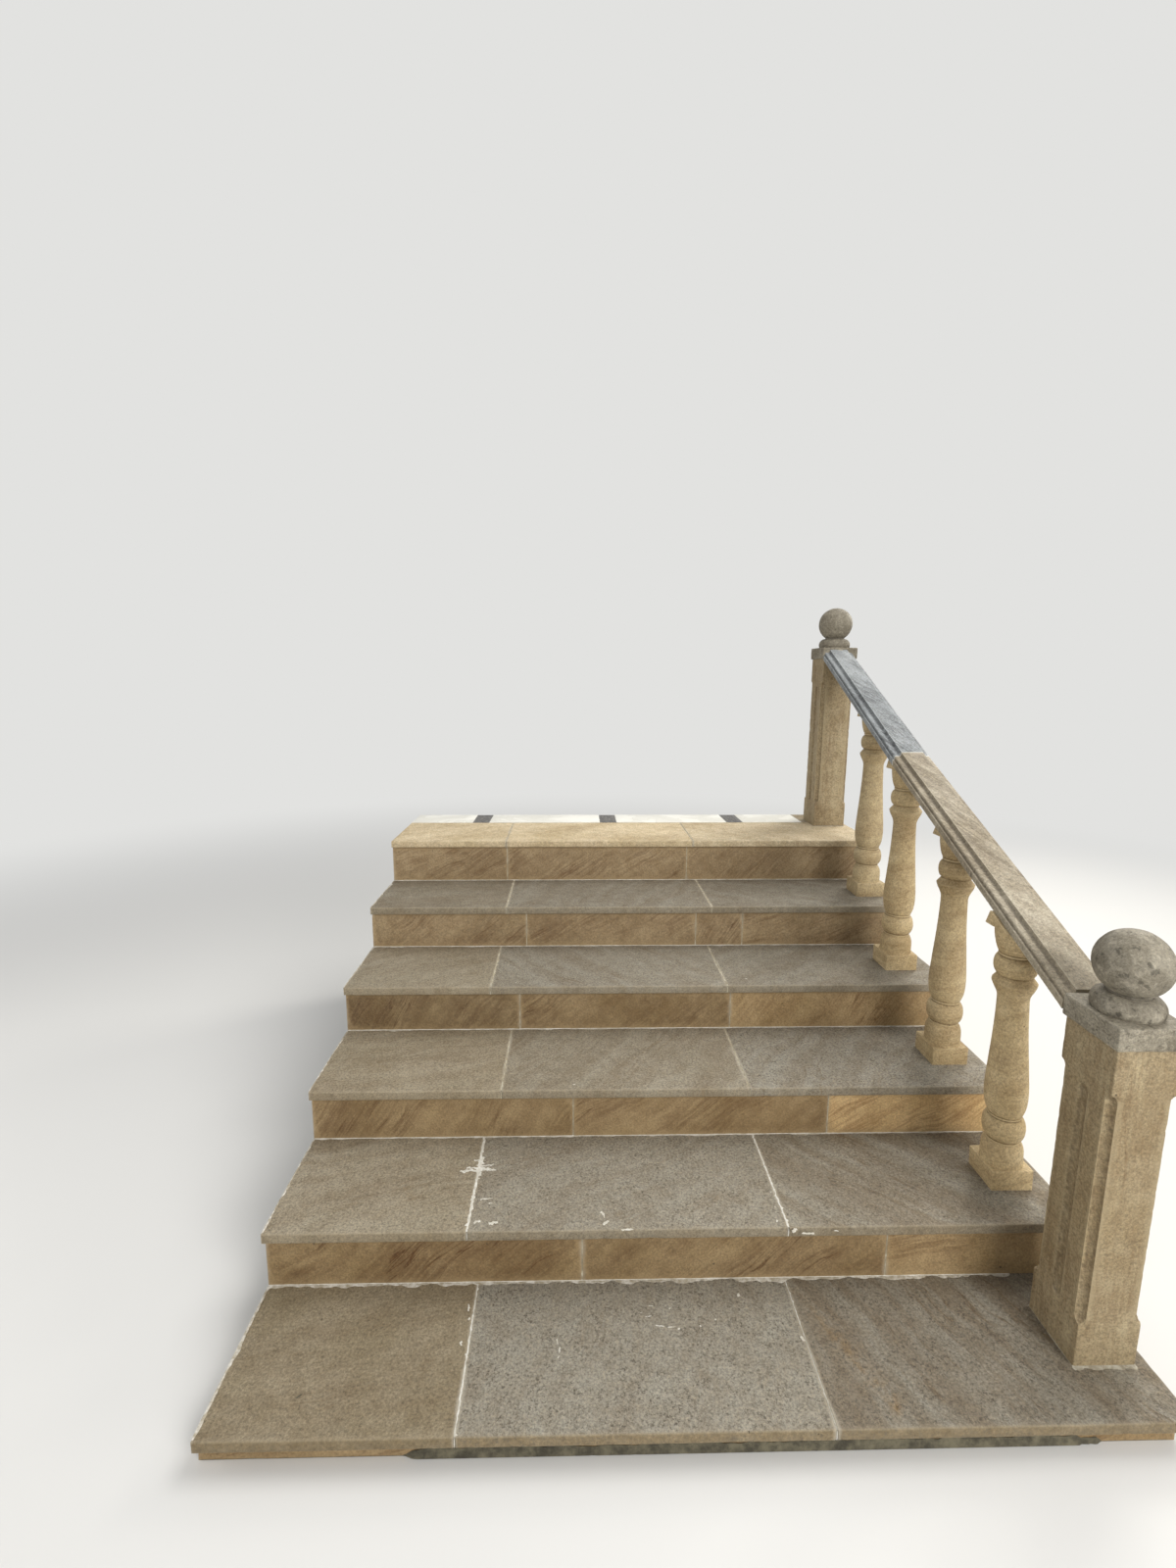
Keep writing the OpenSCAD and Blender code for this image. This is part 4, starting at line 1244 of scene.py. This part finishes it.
def newel_cap(post, seed):
    half_w, half_d = NEWEL_W / 2 + CAP_OVER, NEWEL_D / 2 + CAP_OVER
    low, high = Vector((-half_w, -half_d, 0)), Vector((half_w, half_d, CAP_T))
    made = block(f"{post}_newel_capstone", low, high)
    bpy.ops.object.mode_set(mode="EDIT")
    bevel_edges(lambda a, b: edge_distance((a + b) / 2, low, high) < ON_EDGE, CAP_EASE, 3)
    for axis, reach in ((0, half_w), (1, half_d)):
        slice_at(axis, [reach * (2 * k / CAP_SLICES - 1) for k in range(1, CAP_SLICES)])
    slice_at(2, [CAP_T * k / CAP_LAYERS for k in range(1, CAP_LAYERS)])
    bpy.ops.object.mode_set(mode="OBJECT")
    weather(made, seed, lumps=0.0006, chips=0.0028, grain=30.0, slab_tone=0.06)
    made.data.transform(upright_place(post, 0.0))
    return settle(made, CAP_STONE, "cap_stone", f"{post}_newel_cap")


newel_cap("lower", 2.3)
newel_cap("upper", 6.9)

# %% Ball finials
BALL_R, BALL_Z, BUN_R, QUIRK_R = 66.5 * MM, 96.5 * MM, 62 * MM, 37 * MM


def spun(name, outline, steps):
    """Draws an outline of (radius, height) by extruding one vertex, and spins it about the Z axis."""
    nothing_selected()
    first = Vector((outline[0][0], 0, outline[0][1]))
    bpy.ops.mesh.primitive_plane_add(size=0.01, location=first)
    made = bpy.context.object
    made.name = name
    bpy.ops.object.transform_apply(location=True, rotation=True, scale=True)
    bpy.ops.object.mode_set(mode="EDIT")
    bpy.ops.mesh.select_mode(type="VERT")
    bpy.ops.mesh.select_all(action="SELECT")
    bpy.ops.mesh.merge(type="CENTER")
    for (r0, z0), (r1, z1) in zip(outline, outline[1:]):
        bpy.ops.mesh.extrude_region_move(TRANSFORM_OT_translate={"value": (r1 - r0, 0, z1 - z0)})
    bpy.ops.mesh.select_all(action="SELECT")
    bpy.ops.mesh.spin(steps=steps, angle=math.tau, center=(0, 0, 0), axis=(0, 0, 1))
    bpy.ops.mesh.select_all(action="SELECT")
    bpy.ops.mesh.remove_doubles(threshold=2e-5)
    bpy.ops.mesh.normals_make_consistent(inside=False)
    bpy.ops.object.mode_set(mode="OBJECT")
    return made


def finial_outline():
    """The bun, the quirk and the ball, from the axis below to the axis above."""
    quirk_z = BALL_Z - math.sqrt(BALL_R ** 2 - QUIRK_R ** 2)
    quirk_angle = math.acos(QUIRK_R / BALL_R)
    bun_h = quirk_z - 4 * MM
    round_h, round_w = bun_h / 1.5, BUN_R - QUIRK_R
    bun = [math.radians(-30 + 120 * k / 16) for k in range(17)]
    ball = [-quirk_angle + (math.pi / 2 + quirk_angle) * k / 30 for k in range(31)]
    return ([(0.0, 0.0), (0.03, 0.0)]
            + [(QUIRK_R + round_w * math.cos(a), bun_h - round_h + round_h * math.sin(a)) for a in bun]
            + [(BALL_R * math.cos(a), BALL_Z + BALL_R * math.sin(a)) for a in ball[:-1]]
            + [(0.0, BALL_Z + BALL_R)])


def newel_ball(post, stone, seed):
    made = spun(f"{post}_newel_finial", finial_outline(), steps=80)
    weather(made, seed, lumps=0.0006, chips=0.0010, grain=28.0, slab_tone=-0.10)
    made.data.transform(upright_place(post, CAP_T))
    return settle(made, stone, "cap_stone", f"{post}_newel_ball")


newel_ball("lower", BALL_STONE, 4.4)
newel_ball("upper", CAP_STONE, 9.6)

# %% [markdown]
# The newels stand in a ragged collar of white mortar, and lumps of it were left where the
# handrail meets their caps.

# %% Mortar at the newels
# Width of the mortar along the front, right, back and left of a newel's foot
COLLAR_WIDTHS = (9 * MM, 3 * MM, 4 * MM, 1.8 * MM)
COLLAR_HEIGHT, COLLAR_PAST, COLLAR_UNDER = 2.5 * MM, 0.003, 0.002


def collar(name, foot, half_w, half_d, seed):
    """Mortar pressed along the four sides of a square foot."""
    sides = [((-half_w, -half_d), X_AXIS, half_w * 2), ((half_w, -half_d), Y_AXIS, half_d * 2),
             ((half_w, half_d), -X_AXIS, half_w * 2), ((-half_w, half_d), -Y_AXIS, half_d * 2)]
    made = []
    for k, ((x, y), along, length) in enumerate(sides):
        width = COLLAR_WIDTHS[k]
        edge = wander(width, width * 0.7, 0.018, seed + k, width * 1.5)
        corner = foot + Vector((x, y, 0)) - along * COLLAR_PAST
        made.append(spread(
            f"{name}_{k}", corner, along, Z_AXIS, length + 2 * COLLAR_PAST, lambda s: -edge(s),
            lambda s: COLLAR_UNDER, lambda s, share: COLLAR_HEIGHT * share ** 1.4,
        ))
    return made


def lump_of_mortar(name, place, size, height, seed):
    """A flattened lump of mortar: an icosphere pressed onto the stone and made uneven by noise."""
    nothing_selected()
    bpy.ops.mesh.primitive_ico_sphere_add(subdivisions=3, radius=1.0)
    made = bpy.context.object
    made.name = name
    for vertex in made.data.vertices:
        uneven = 1 + 0.45 * noise.noise(vertex.co * 1.6 + Vector((seed, 0, 0)))
        vertex.co = Vector((vertex.co.x * size[0], vertex.co.y * size[1], vertex.co.z * height)) * uneven
    made.data.transform(Matrix.Translation(place))
    return made


collars = []
for post, (foot, height, lean, lean_axis, seed) in NEWELS.items():
    collars += collar(f"{post}_collar", foot, NEWEL_W / 2, NEWEL_D / 2, seed)
# Place, half sizes across and along the flight and height of the lumps by the caps, in millimetres
LUMPS = [
    (1723, 262, 770, 5, 7, 6), (1735, 259, 806, 9, 6, 5), (1712, 264, 790, 4, 6, 8),
    (1826, 260, 806, 8, 6, 5), (1770, 258, 812, 14, 5, 5), (1800, 258, 810, 10, 5, 4),
    (1736, 1784, 1512, 6, 6, 9), (1790, 1782, 1548, 14, 5, 5), (1834, 1783, 1520, 6, 6, 8),
]
lumps = [lump_of_mortar(f"lump_{k}", at(x, y, z), (a * MM, b * MM), h * MM, k * 2.9)
         for k, (x, y, z, a, b, h) in enumerate(LUMPS)]
settle(smooth(join("newel_mortar", collars + lumps), 60), DULL_MORTAR, "grout")

# %% [markdown]
# The four balusters were turned to one pattern: drum, large ring, long belly, cup, ring and a
# bell under the square head. The turned part is spun once and copied. Each baluster then gets
# its own plinth and head, its own unevenness and chips, and its head is cut to the rail's slope.

# %% Outline of the turned part
BAL_W, PLINTH_T, QUIRK = 100 * MM, 50 * MM, 35.5 * MM
DRUM_R, DRUM_H, RING_R, RING_H = 47 * MM, 60 * MM, 47.5 * MM, 65 * MM
BELLY_R, BELLY_RISE, WAIST_R = 47.5 * MM, 60 * MM, 34 * MM
CUP_R, CUP_H, CUP_TOP = 48.5 * MM, 44 * MM, 17 * MM
COLLAR_R, COLLAR_H, BELL_H = 46.5 * MM, 52 * MM, 61 * MM
BAND, BAND_OUT, BAND_EASE = 4.5 * MM, 2.5 * MM, 0.5 * MM
HOLLOW_R, SUNK = QUIRK + 1.5 * MM, 2 * MM
# Each baluster's own tone; the fourth is darkened as painted shade.
BALUSTER_TONES_AND_SHADE = (0.15, -0.03, 0.06, -0.12)


def curve(p0, p1, p2, p3, count=9):
    """Points of a cubic curve, without its first."""
    points = []
    for k in range(1, count + 1):
        t = k / count
        u = 1 - t
        points.append(tuple(u ** 3 * a + 3 * u * u * t * b + 3 * u * t * t * c + t ** 3 * d
                            for a, b, c, d in zip(p0, p1, p2, p3)))
    return points


def ring_round(z0, z1, radius, count=12):
    """Points of a ring's rounded outline."""
    turns = [math.pi * (k / count - 0.5) for k in range(count + 1)]
    middle, half = (z0 + z1) / 2, (z1 - z0) / 2
    return [(QUIRK + (radius - QUIRK) * math.cos(a), middle + half * math.sin(a)) for a in turns]


def band(z):
    """Points of the narrow raised band between two hollows, round a height."""
    low, high, radius = z - BAND / 2, z + BAND / 2, QUIRK + BAND_OUT
    return [(QUIRK, low), (radius, low + BAND_EASE), (radius, high - BAND_EASE), (QUIRK, high)]


def turned_outline(top):
    """Outline of the turned part as (radius, height), from the axis at its foot to the axis at its top."""
    ring_z = PLINTH_T + DRUM_H
    swell_z = ring_z + RING_H
    belly_z = swell_z + BELLY_RISE
    bell_z = top - BELL_H
    collar_z = bell_z - COLLAR_H
    rim_z = collar_z - CUP_TOP
    cup_z = rim_z - CUP_H
    shaft = cup_z - belly_z
    bell_r = BAL_W / 2 - MM
    outline = [(0.0, PLINTH_T - SUNK), (DRUM_R, PLINTH_T - SUNK)]
    outline += [(DRUM_R, PLINTH_T + DRUM_H * k / 8) for k in range(1, 4)]
    outline += curve((DRUM_R, PLINTH_T + DRUM_H / 2), (DRUM_R, ring_z - DRUM_H / 4),
                     (DRUM_R - 6 * MM, ring_z - 6 * MM), (HOLLOW_R, ring_z - BAND / 2))
    outline += band(ring_z)
    outline += ring_round(ring_z + BAND, swell_z - BAND, RING_R)
    outline += band(swell_z)
    outline += curve((HOLLOW_R, swell_z + BAND / 2), (QUIRK + 5 * MM, swell_z + BELLY_RISE / 6),
                     (BELLY_R, swell_z + BELLY_RISE / 3), (BELLY_R, belly_z), 12)
    outline += curve((BELLY_R, belly_z), (BELLY_R, belly_z + shaft / 6),
                     (WAIST_R + MM, cup_z - shaft * 3 / 7), (WAIST_R, cup_z), 18)
    outline += curve((WAIST_R, cup_z), (WAIST_R, cup_z + CUP_H * 2 / 5),
                     (CUP_R - CUP_H / 12, cup_z + CUP_H * 3 / 5), (CUP_R, rim_z), 10)
    outline += [(CUP_R + (QUIRK - CUP_R) * k / 4, rim_z + CUP_TOP * k / 4) for k in range(1, 4)]
    outline += ring_round(collar_z, bell_z - BAND, COLLAR_R)
    outline += band(bell_z)
    outline += curve((HOLLOW_R, bell_z + BAND / 2), (QUIRK + BELL_H / 10, bell_z + BELL_H / 6),
                     (bell_r - MM, top - BELL_H / 2), (bell_r, top))
    return outline + [(bell_r, top + SUNK), (0.0, top + SUNK)]


# %% [markdown]
# The rail's slope and place follow from the two newels, because it was cut to fit between them.

# %% Line of the handrail
RAIL_FOOT, RAIL_TOP_END = (243.57, 771.0), (1784.0, 1510.0)
RAIL_SLOPE = (RAIL_TOP_END[1] - RAIL_FOOT[1]) / (RAIL_TOP_END[0] - RAIL_FOOT[0])
RAIL_ANGLE = math.atan(RAIL_SLOPE)
# Middle of the rail from its foot to the joint, and where the upper stone's far end has strayed to
RAIL_X, RAIL_TOP_X, RAIL_JOINT = 1763.0, 1781.5, 1070.0


def rail_z(y):
    """Height of the handrail's underside, in millimetres, at a distance up the flight."""
    return RAIL_FOOT[1] + (y - RAIL_FOOT[0]) * RAIL_SLOPE


print("handrail rises at", round(math.degrees(RAIL_ANGLE), 2), "degrees")

# %% Balusters
# Where each baluster strays from the newels' middle line in millimetres, and its lean in degrees
BALUSTER_OFFSETS, BALUSTER_LEANS = (-10.5, -11, -17, 3.5), (1.5, 0, 0, 0)
BALUSTER_LINE, BALUSTER_BACK, TURNED_GAP = 1774.5, 155, 13
TREAD_FRONTS, TREAD_TOPS = (310, 614, 918, 1222), (211.5, 359, 506.5, 654)
rooms = [rail_z(y + BALUSTER_BACK) - z for y, z in zip(TREAD_FRONTS, TREAD_TOPS)]
turned_top = (min(rooms) - TURNED_GAP) * MM
SQUARE_EASE, SQUARE_PITCH = 1.2 * MM, 7 * MM


def stone_square(name, low, high):
    """A square plinth or head with eased, finely sliced edges."""
    low, high = Vector(low), Vector(high)
    made = block(name, low, high)
    bpy.ops.object.mode_set(mode="EDIT")
    bevel_edges(lambda a, b: edge_distance((a + b) / 2, low, high) < ON_EDGE, SQUARE_EASE, 2)
    for axis in range(3):
        count = max(3, round((high[axis] - low[axis]) / SQUARE_PITCH))
        slice_at(axis, [low[axis] + (high[axis] - low[axis]) * k / count for k in range(1, count)])
    bpy.ops.object.mode_set(mode="OBJECT")
    return made


pattern = spun("baluster_pattern", turned_outline(turned_top), steps=60)
for k in range(4):
    room, half, seed = rooms[k] * MM, BAL_W / 2, 1.9 + 2.7 * k
    shaft = pattern.copy()
    shaft.data = pattern.data.copy()
    bpy.context.scene.collection.objects.link(shaft)
    plinth_block = stone_square(f"plinth_{k}", (-half, -half, -3 * MM), (half, half, PLINTH_T))
    head_top = room + half * RAIL_SLOPE + 6 * MM
    head = stone_square(f"head_{k}", (-half, -half, turned_top), (half, half, head_top))
    slope = Vector((0, math.cos(RAIL_ANGLE), math.sin(RAIL_ANGLE)))
    keep_one_side(head, (0, 0, room), (0, math.sin(RAIL_ANGLE), -math.cos(RAIL_ANGLE)))
    keep_one_side(head, (0, half, turned_top), -slope)
    parts = [weather(part, seed, lumps=0.00012, chips=0.0009, slab_tone=BALUSTER_TONES_AND_SHADE[k])
             for part in (plinth_block, shaft, head)]
    made = join(f"baluster_stone_{k + 1}", parts)
    foot = at(BALUSTER_LINE + BALUSTER_OFFSETS[k], TREAD_FRONTS[k] + BALUSTER_BACK, TREAD_TOPS[k])
    leant = Matrix.Rotation(-math.radians(BALUSTER_LEANS[k]), 4, "Y")
    made.data.transform(Matrix.Translation(foot) @ leant)
    keep_one_side(made, foot, (0, 0, 1))
    settle(smooth(made, 40), BALUSTER_STONE, "baluster_stone", f"baluster_{k + 1}")
bpy.data.objects.remove(pattern)

# %% [markdown]
# The handrail is one moulding in two stones: an upright face, a fillet, a rounded ledge and a
# cove up to the flat top. Its section is drawn on a flat disc whose rim takes the outline, pushed
# along the rail, and cut where the two stones meet and where they meet the caps.

# %% Handrail
RAIL_REACH = 1100 * MM
JOINT_HALF, JOINT_PAST = 1.25, 0.15


def rail_half():
    """Half of the rail's section, from the foot to the top, as (across, square to the slope)."""
    foot, top, face, ledge, thick, fillet, round_r, cove = 60.5, 34.5, 17, 27, 38, 5, 4, 5
    half = [(foot - 8, 0), (foot - 0.7, 0), (foot, 0.7), (foot, 9), (foot, face - 1), (foot - 1, face),
            (foot - fillet, face)]
    for degrees in (-20, 0, 22, 45, 67, 90):
        a = math.radians(degrees)
        half.append((foot - fillet - round_r * (1 - math.cos(a)), ledge - round_r * (1 - math.sin(a))))
    half.append((top + cove, ledge))
    for degrees in (22, 45, 67, 90):
        a = math.radians(degrees)
        half.append((top + cove * (1 - math.sin(a)), ledge + (thick - ledge) * (1 - math.cos(a))))
    half.append((top - 6, thick))
    return [(x * MM, z * MM) for x, z in half]


def plumb_cut(y, way):
    """An upright plane across the flight and the side of it to keep, up or down the flight."""
    return at(RAIL_X, y, 0), Vector((0, way, 0))


def rail_stone(name, cuts, swing_angle, seed, **looks):
    """A length of rail, cut by planes at its ends and swung a little from the line of the flight."""
    half = rail_half()
    outline = half + [(-x, z) for x, z in reversed(half)]
    nothing_selected()
    bpy.ops.mesh.primitive_circle_add(vertices=len(outline), radius=0.1, fill_type="NGON")
    made = bpy.context.object
    made.name = name
    for vertex, (x, z) in zip(made.data.vertices, outline):
        vertex.co = (x, -RAIL_REACH, z)
    bpy.ops.object.mode_set(mode="EDIT")
    bpy.ops.mesh.select_all(action="SELECT")
    bpy.ops.mesh.extrude_region_move(TRANSFORM_OT_translate={"value": (0, 2 * RAIL_REACH, 0)})
    bpy.ops.mesh.select_all(action="SELECT")
    bpy.ops.mesh.normals_make_consistent(inside=False)
    slice_at(0, [x * MM for x in (-45, -22, 0, 22, 45)])
    cut_along(1, 9 * MM)
    bpy.ops.object.mode_set(mode="OBJECT")
    middle = Matrix.Translation(at(RAIL_X, RAIL_JOINT, rail_z(RAIL_JOINT)))
    place = middle @ Matrix.Rotation(RAIL_ANGLE, 4, "X") @ Matrix.Rotation(-swing_angle, 4, "Z")
    back = place.inverted()
    for point, keep in cuts:
        keep_one_side(made, back @ point, back.to_3x3() @ keep)
    weather(made, seed, lumps=0.0002, chips=0.0012, grain=40.0, **looks)
    made.data.transform(place)
    return made


SWING = math.atan((RAIL_TOP_X - RAIL_X) * math.cos(RAIL_ANGLE) / (RAIL_TOP_END[0] - RAIL_JOINT))
# The lower stone's raised tone and low greyness are partly painted warm light thrown up from the stone around
# it.
LOWER_LOOKS = {"slab_turn": math.radians(-35), "slab_grey": 0.08, "slab_tone": 0.16}
UPPER_LOOKS = {"slab_turn": math.radians(-25), "slab_grey": 0.5, "slab_tone": -0.06}
lower_cap = upright_place("lower", 0.0)
cap_cut = (lower_cap @ Vector((0, NEWEL_D / 2 + CAP_OVER, 0)), lower_cap.to_3x3() @ Y_AXIS)
lower_cuts = [cap_cut, plumb_cut(RAIL_JOINT - JOINT_HALF, -1)]
upper_cuts = [plumb_cut(RAIL_JOINT + JOINT_HALF, 1), plumb_cut(RAIL_TOP_END[0], -1)]
settle(rail_stone("lower_rail_stone", lower_cuts, 0.0, 2.2, **LOWER_LOOKS),
       RAIL_STONE, "rail_stone", "handrail_lower")
settle(rail_stone("upper_rail_stone", upper_cuts, SWING, 7.7, **UPPER_LOOKS),
       BLUE_RAIL_STONE, "rail_stone", "handrail_upper")

# %% [markdown]
# The two rail stones meet in a thin white joint. It is a slice of the same section that fills
# the gap between the two stones and reaches a hair into each.

# %% Joint of the handrail
bead_half = JOINT_HALF + JOINT_PAST
joint_cuts = [plumb_cut(RAIL_JOINT - bead_half, 1), plumb_cut(RAIL_JOINT + bead_half, -1)]
settle(rail_stone("rail_joint_bead", joint_cuts, 0.0, 3.3, **LOWER_LOOKS), GROUT, "grout")

# %% [markdown]
# Behind the top slab the upper floor begins: pale tiles between strips of small dark mosaic.
# The tiles are sawn slabs like the treads, with a finer edge. Each strip is a bed of dark grout
# with rows of little stones set in it, which are made once and copied.

# %% Landing
tiles = [sawn_slab(f"tile_{k}", low, high, FINE_EASE, lambda p: True, 0.05, 3.1 * k, 0.0001)
         for k, (low, high) in enumerate(boxes_of("landing_tiles"))]
settle(smooth(join("landing_tile_slabs", tiles)), PORCELAIN, "floor_tile", "landing_tiles")

edge_low, edge_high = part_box("landing_edge_stone")
edge_stone = sawn_slab("edge_slab", edge_low, edge_high, SLAB_EASE, lambda p: close_to(p.x, edge_high.x),
                       0.02, 5.5, slab_turn=1.1, slab_tone=0.10, slab_grey=0.1)
settle(smooth(edge_stone), TREAD_STONE, "tread_stone", "landing_edge_stone")

# %% Mosaic strips
TESSERA, TESSERA_GAP, TESSERA_T = 12 * MM, 2 * MM, 4 * MM
TESSERA_EASE, BED_DROP = 0.8 * MM, 1.2 * MM


def tessera(name, low, size):
    """One small stone with eased edges."""
    made = block(name, low, low + Vector(size))
    bpy.ops.object.mode_set(mode="EDIT")
    bpy.ops.mesh.select_all(action="SELECT")
    bpy.ops.mesh.bevel(offset=TESSERA_EASE, segments=1, affect="EDGES")
    bpy.ops.object.mode_set(mode="OBJECT")
    return made


strips = []
for k, (low, high) in enumerate(boxes_of("landing_mosaic")):
    strips.append(block(f"strip_bed_{k}", low, high - Vector((0, 0, BED_DROP))))
    write_numbers(strips[-1], slab_seed=99.0)
    corner = Vector((0, 0, high.z - TESSERA_T))
    pattern = tessera("tessera_pattern", corner, (TESSERA, TESSERA, TESSERA_T))
    pitch = TESSERA + TESSERA_GAP
    columns, rows = int((high.x - low.x) / pitch), int((high.y - low.y) / pitch)
    margin_x = (high.x - low.x - columns * pitch + TESSERA_GAP) / 2
    for i in range(columns):
        for j in range(rows):
            stone = pattern.copy()
            stone.data = pattern.data.copy()
            bpy.context.scene.collection.objects.link(stone)
            corner = Vector((low.x + margin_x + i * pitch, low.y + TESSERA_GAP + j * pitch, 0))
            stone.data.transform(Matrix.Translation(corner))
            write_numbers(stone, slab_seed=(i * 7 + j * 13 + k * 5) % 11 * 0.37)
            strips.append(stone)
    bpy.data.objects.remove(pattern)
settle(smooth(join("mosaic_strips", strips)), MOSAIC, "mosaic_tile", "landing_mosaic")

# %% [markdown]
# The concrete core and the mortar beds are plain shapes that need no second model. They keep
# their CAD meshes and take a material.

# %% Core and mortar beds
def dress(node, material):
    """Gives a CAD node its material and leaves its mesh alone."""
    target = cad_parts[node]
    target.data.materials.clear()
    target.data.materials.append(material)
    print(node, "keeps its CAD mesh in", material.name)


settle(smooth(join("wiped_grout", smears), 60), SMEAR, "grout")
dress("core", CONCRETE)
dress("bedding_mortar", BED_MORTAR)
dress("flank_mortar", BED_MORTAR)

# %% [markdown]
# The studio is plain: a pale floor that fades into the background, one broad soft light
# overhead, a key from the front on the right, which leaves the posts' left faces in soft shade
# as the photograph does, a weak fill from the left and a light from behind on the right.

# %% Floor, lights and world
BACKGROUND = rgb(226, 226, 224)
FLOOR_R, FLOOR_Z = 40.0, -0.0005


def studio_floor():
    """A pale floor that keeps the shadow near the stair and fades to the background colour."""
    nothing_selected()
    bpy.ops.mesh.primitive_circle_add(vertices=96, radius=FLOOR_R, fill_type="NGON", location=(0, 0, FLOOR_Z))
    floor = bpy.context.object
    floor.name = "floor"
    material, tree, shader, place = new_material("studio floor")
    fill(tree, shader, {"Base Color": rgb(214, 213, 210), "Roughness": 0.9})
    distance = put(tree, "VectorMath", {0: place}, operation="LENGTH").outputs["Value"]
    glow = put(tree, "Emission", {"Color": BACKGROUND, "Strength": 1.0}).outputs[0]
    faded = put(tree, "MixShader", {0: soft_step(tree, distance, 2.2, 6.5), 1: shader.outputs[0], 2: glow})
    tree.links.new(faded.outputs[0], tree.nodes["Material Output"].inputs["Surface"])
    floor.data.materials.append(material)


def soft_light(name, place, aim, size, power, colour):
    """An area light at a place, turned towards a point."""
    data = bpy.data.lights.new(name, "AREA")
    data.shape = "SQUARE"
    data.size = size
    data.energy = power
    data.color = colour
    light = bpy.data.objects.new(name, data)
    bpy.context.scene.collection.objects.link(light)
    light.location = place
    light.rotation_mode = "QUATERNION"
    light.rotation_quaternion = (Vector(aim) - Vector(place)).to_track_quat("-Z", "Y")


def studio_world():
    """Pale to the camera and in reflections, and a gentle even light on the object."""
    world = bpy.data.worlds.new("studio")
    world.use_nodes = True
    tree = world.node_tree
    rays = put(tree, "LightPath").outputs
    seen = sums(tree, "MAXIMUM", sums(tree, "MAXIMUM", rays["Is Camera Ray"], rays["Is Glossy Ray"]),
                rays["Is Transmission Ray"])
    even = put(tree, "Background", {"Color": (0.95, 0.97, 1.0, 1.0), "Strength": 0.42}).outputs[0]
    shown = put(tree, "Background", {"Color": BACKGROUND, "Strength": 1.0}).outputs[0]
    mixed = put(tree, "MixShader", {0: seen, 1: even, 2: shown})
    tree.links.new(mixed.outputs[0], tree.nodes["World Output"].inputs["Surface"])
    bpy.context.scene.world = world


studio_floor()
studio_world()
soft_light("overhead", (1.7, 0.6, 4.8), aim=(0.2, 0.0, 0.3), size=3.2, power=138, colour=(1.0, 0.99, 0.97))
soft_light("front key", (2.2, -4.3, 2.6), aim=(0.1, 0.0, 0.4), size=2.4, power=182, colour=(1.0, 0.985, 0.96))
soft_light("left fill", (-3.6, -1.2, 1.5), aim=(0.6, 0.0, 0.5), size=2.0, power=42, colour=(1.0, 0.985, 0.96))
soft_light("back right", (4.0, 3.0, 3.2), aim=(0.4, 0.0, 0.5), size=1.6, power=120, colour=(1.0, 0.96, 0.88))
bpy.context.scene.view_settings.view_transform = "Standard"
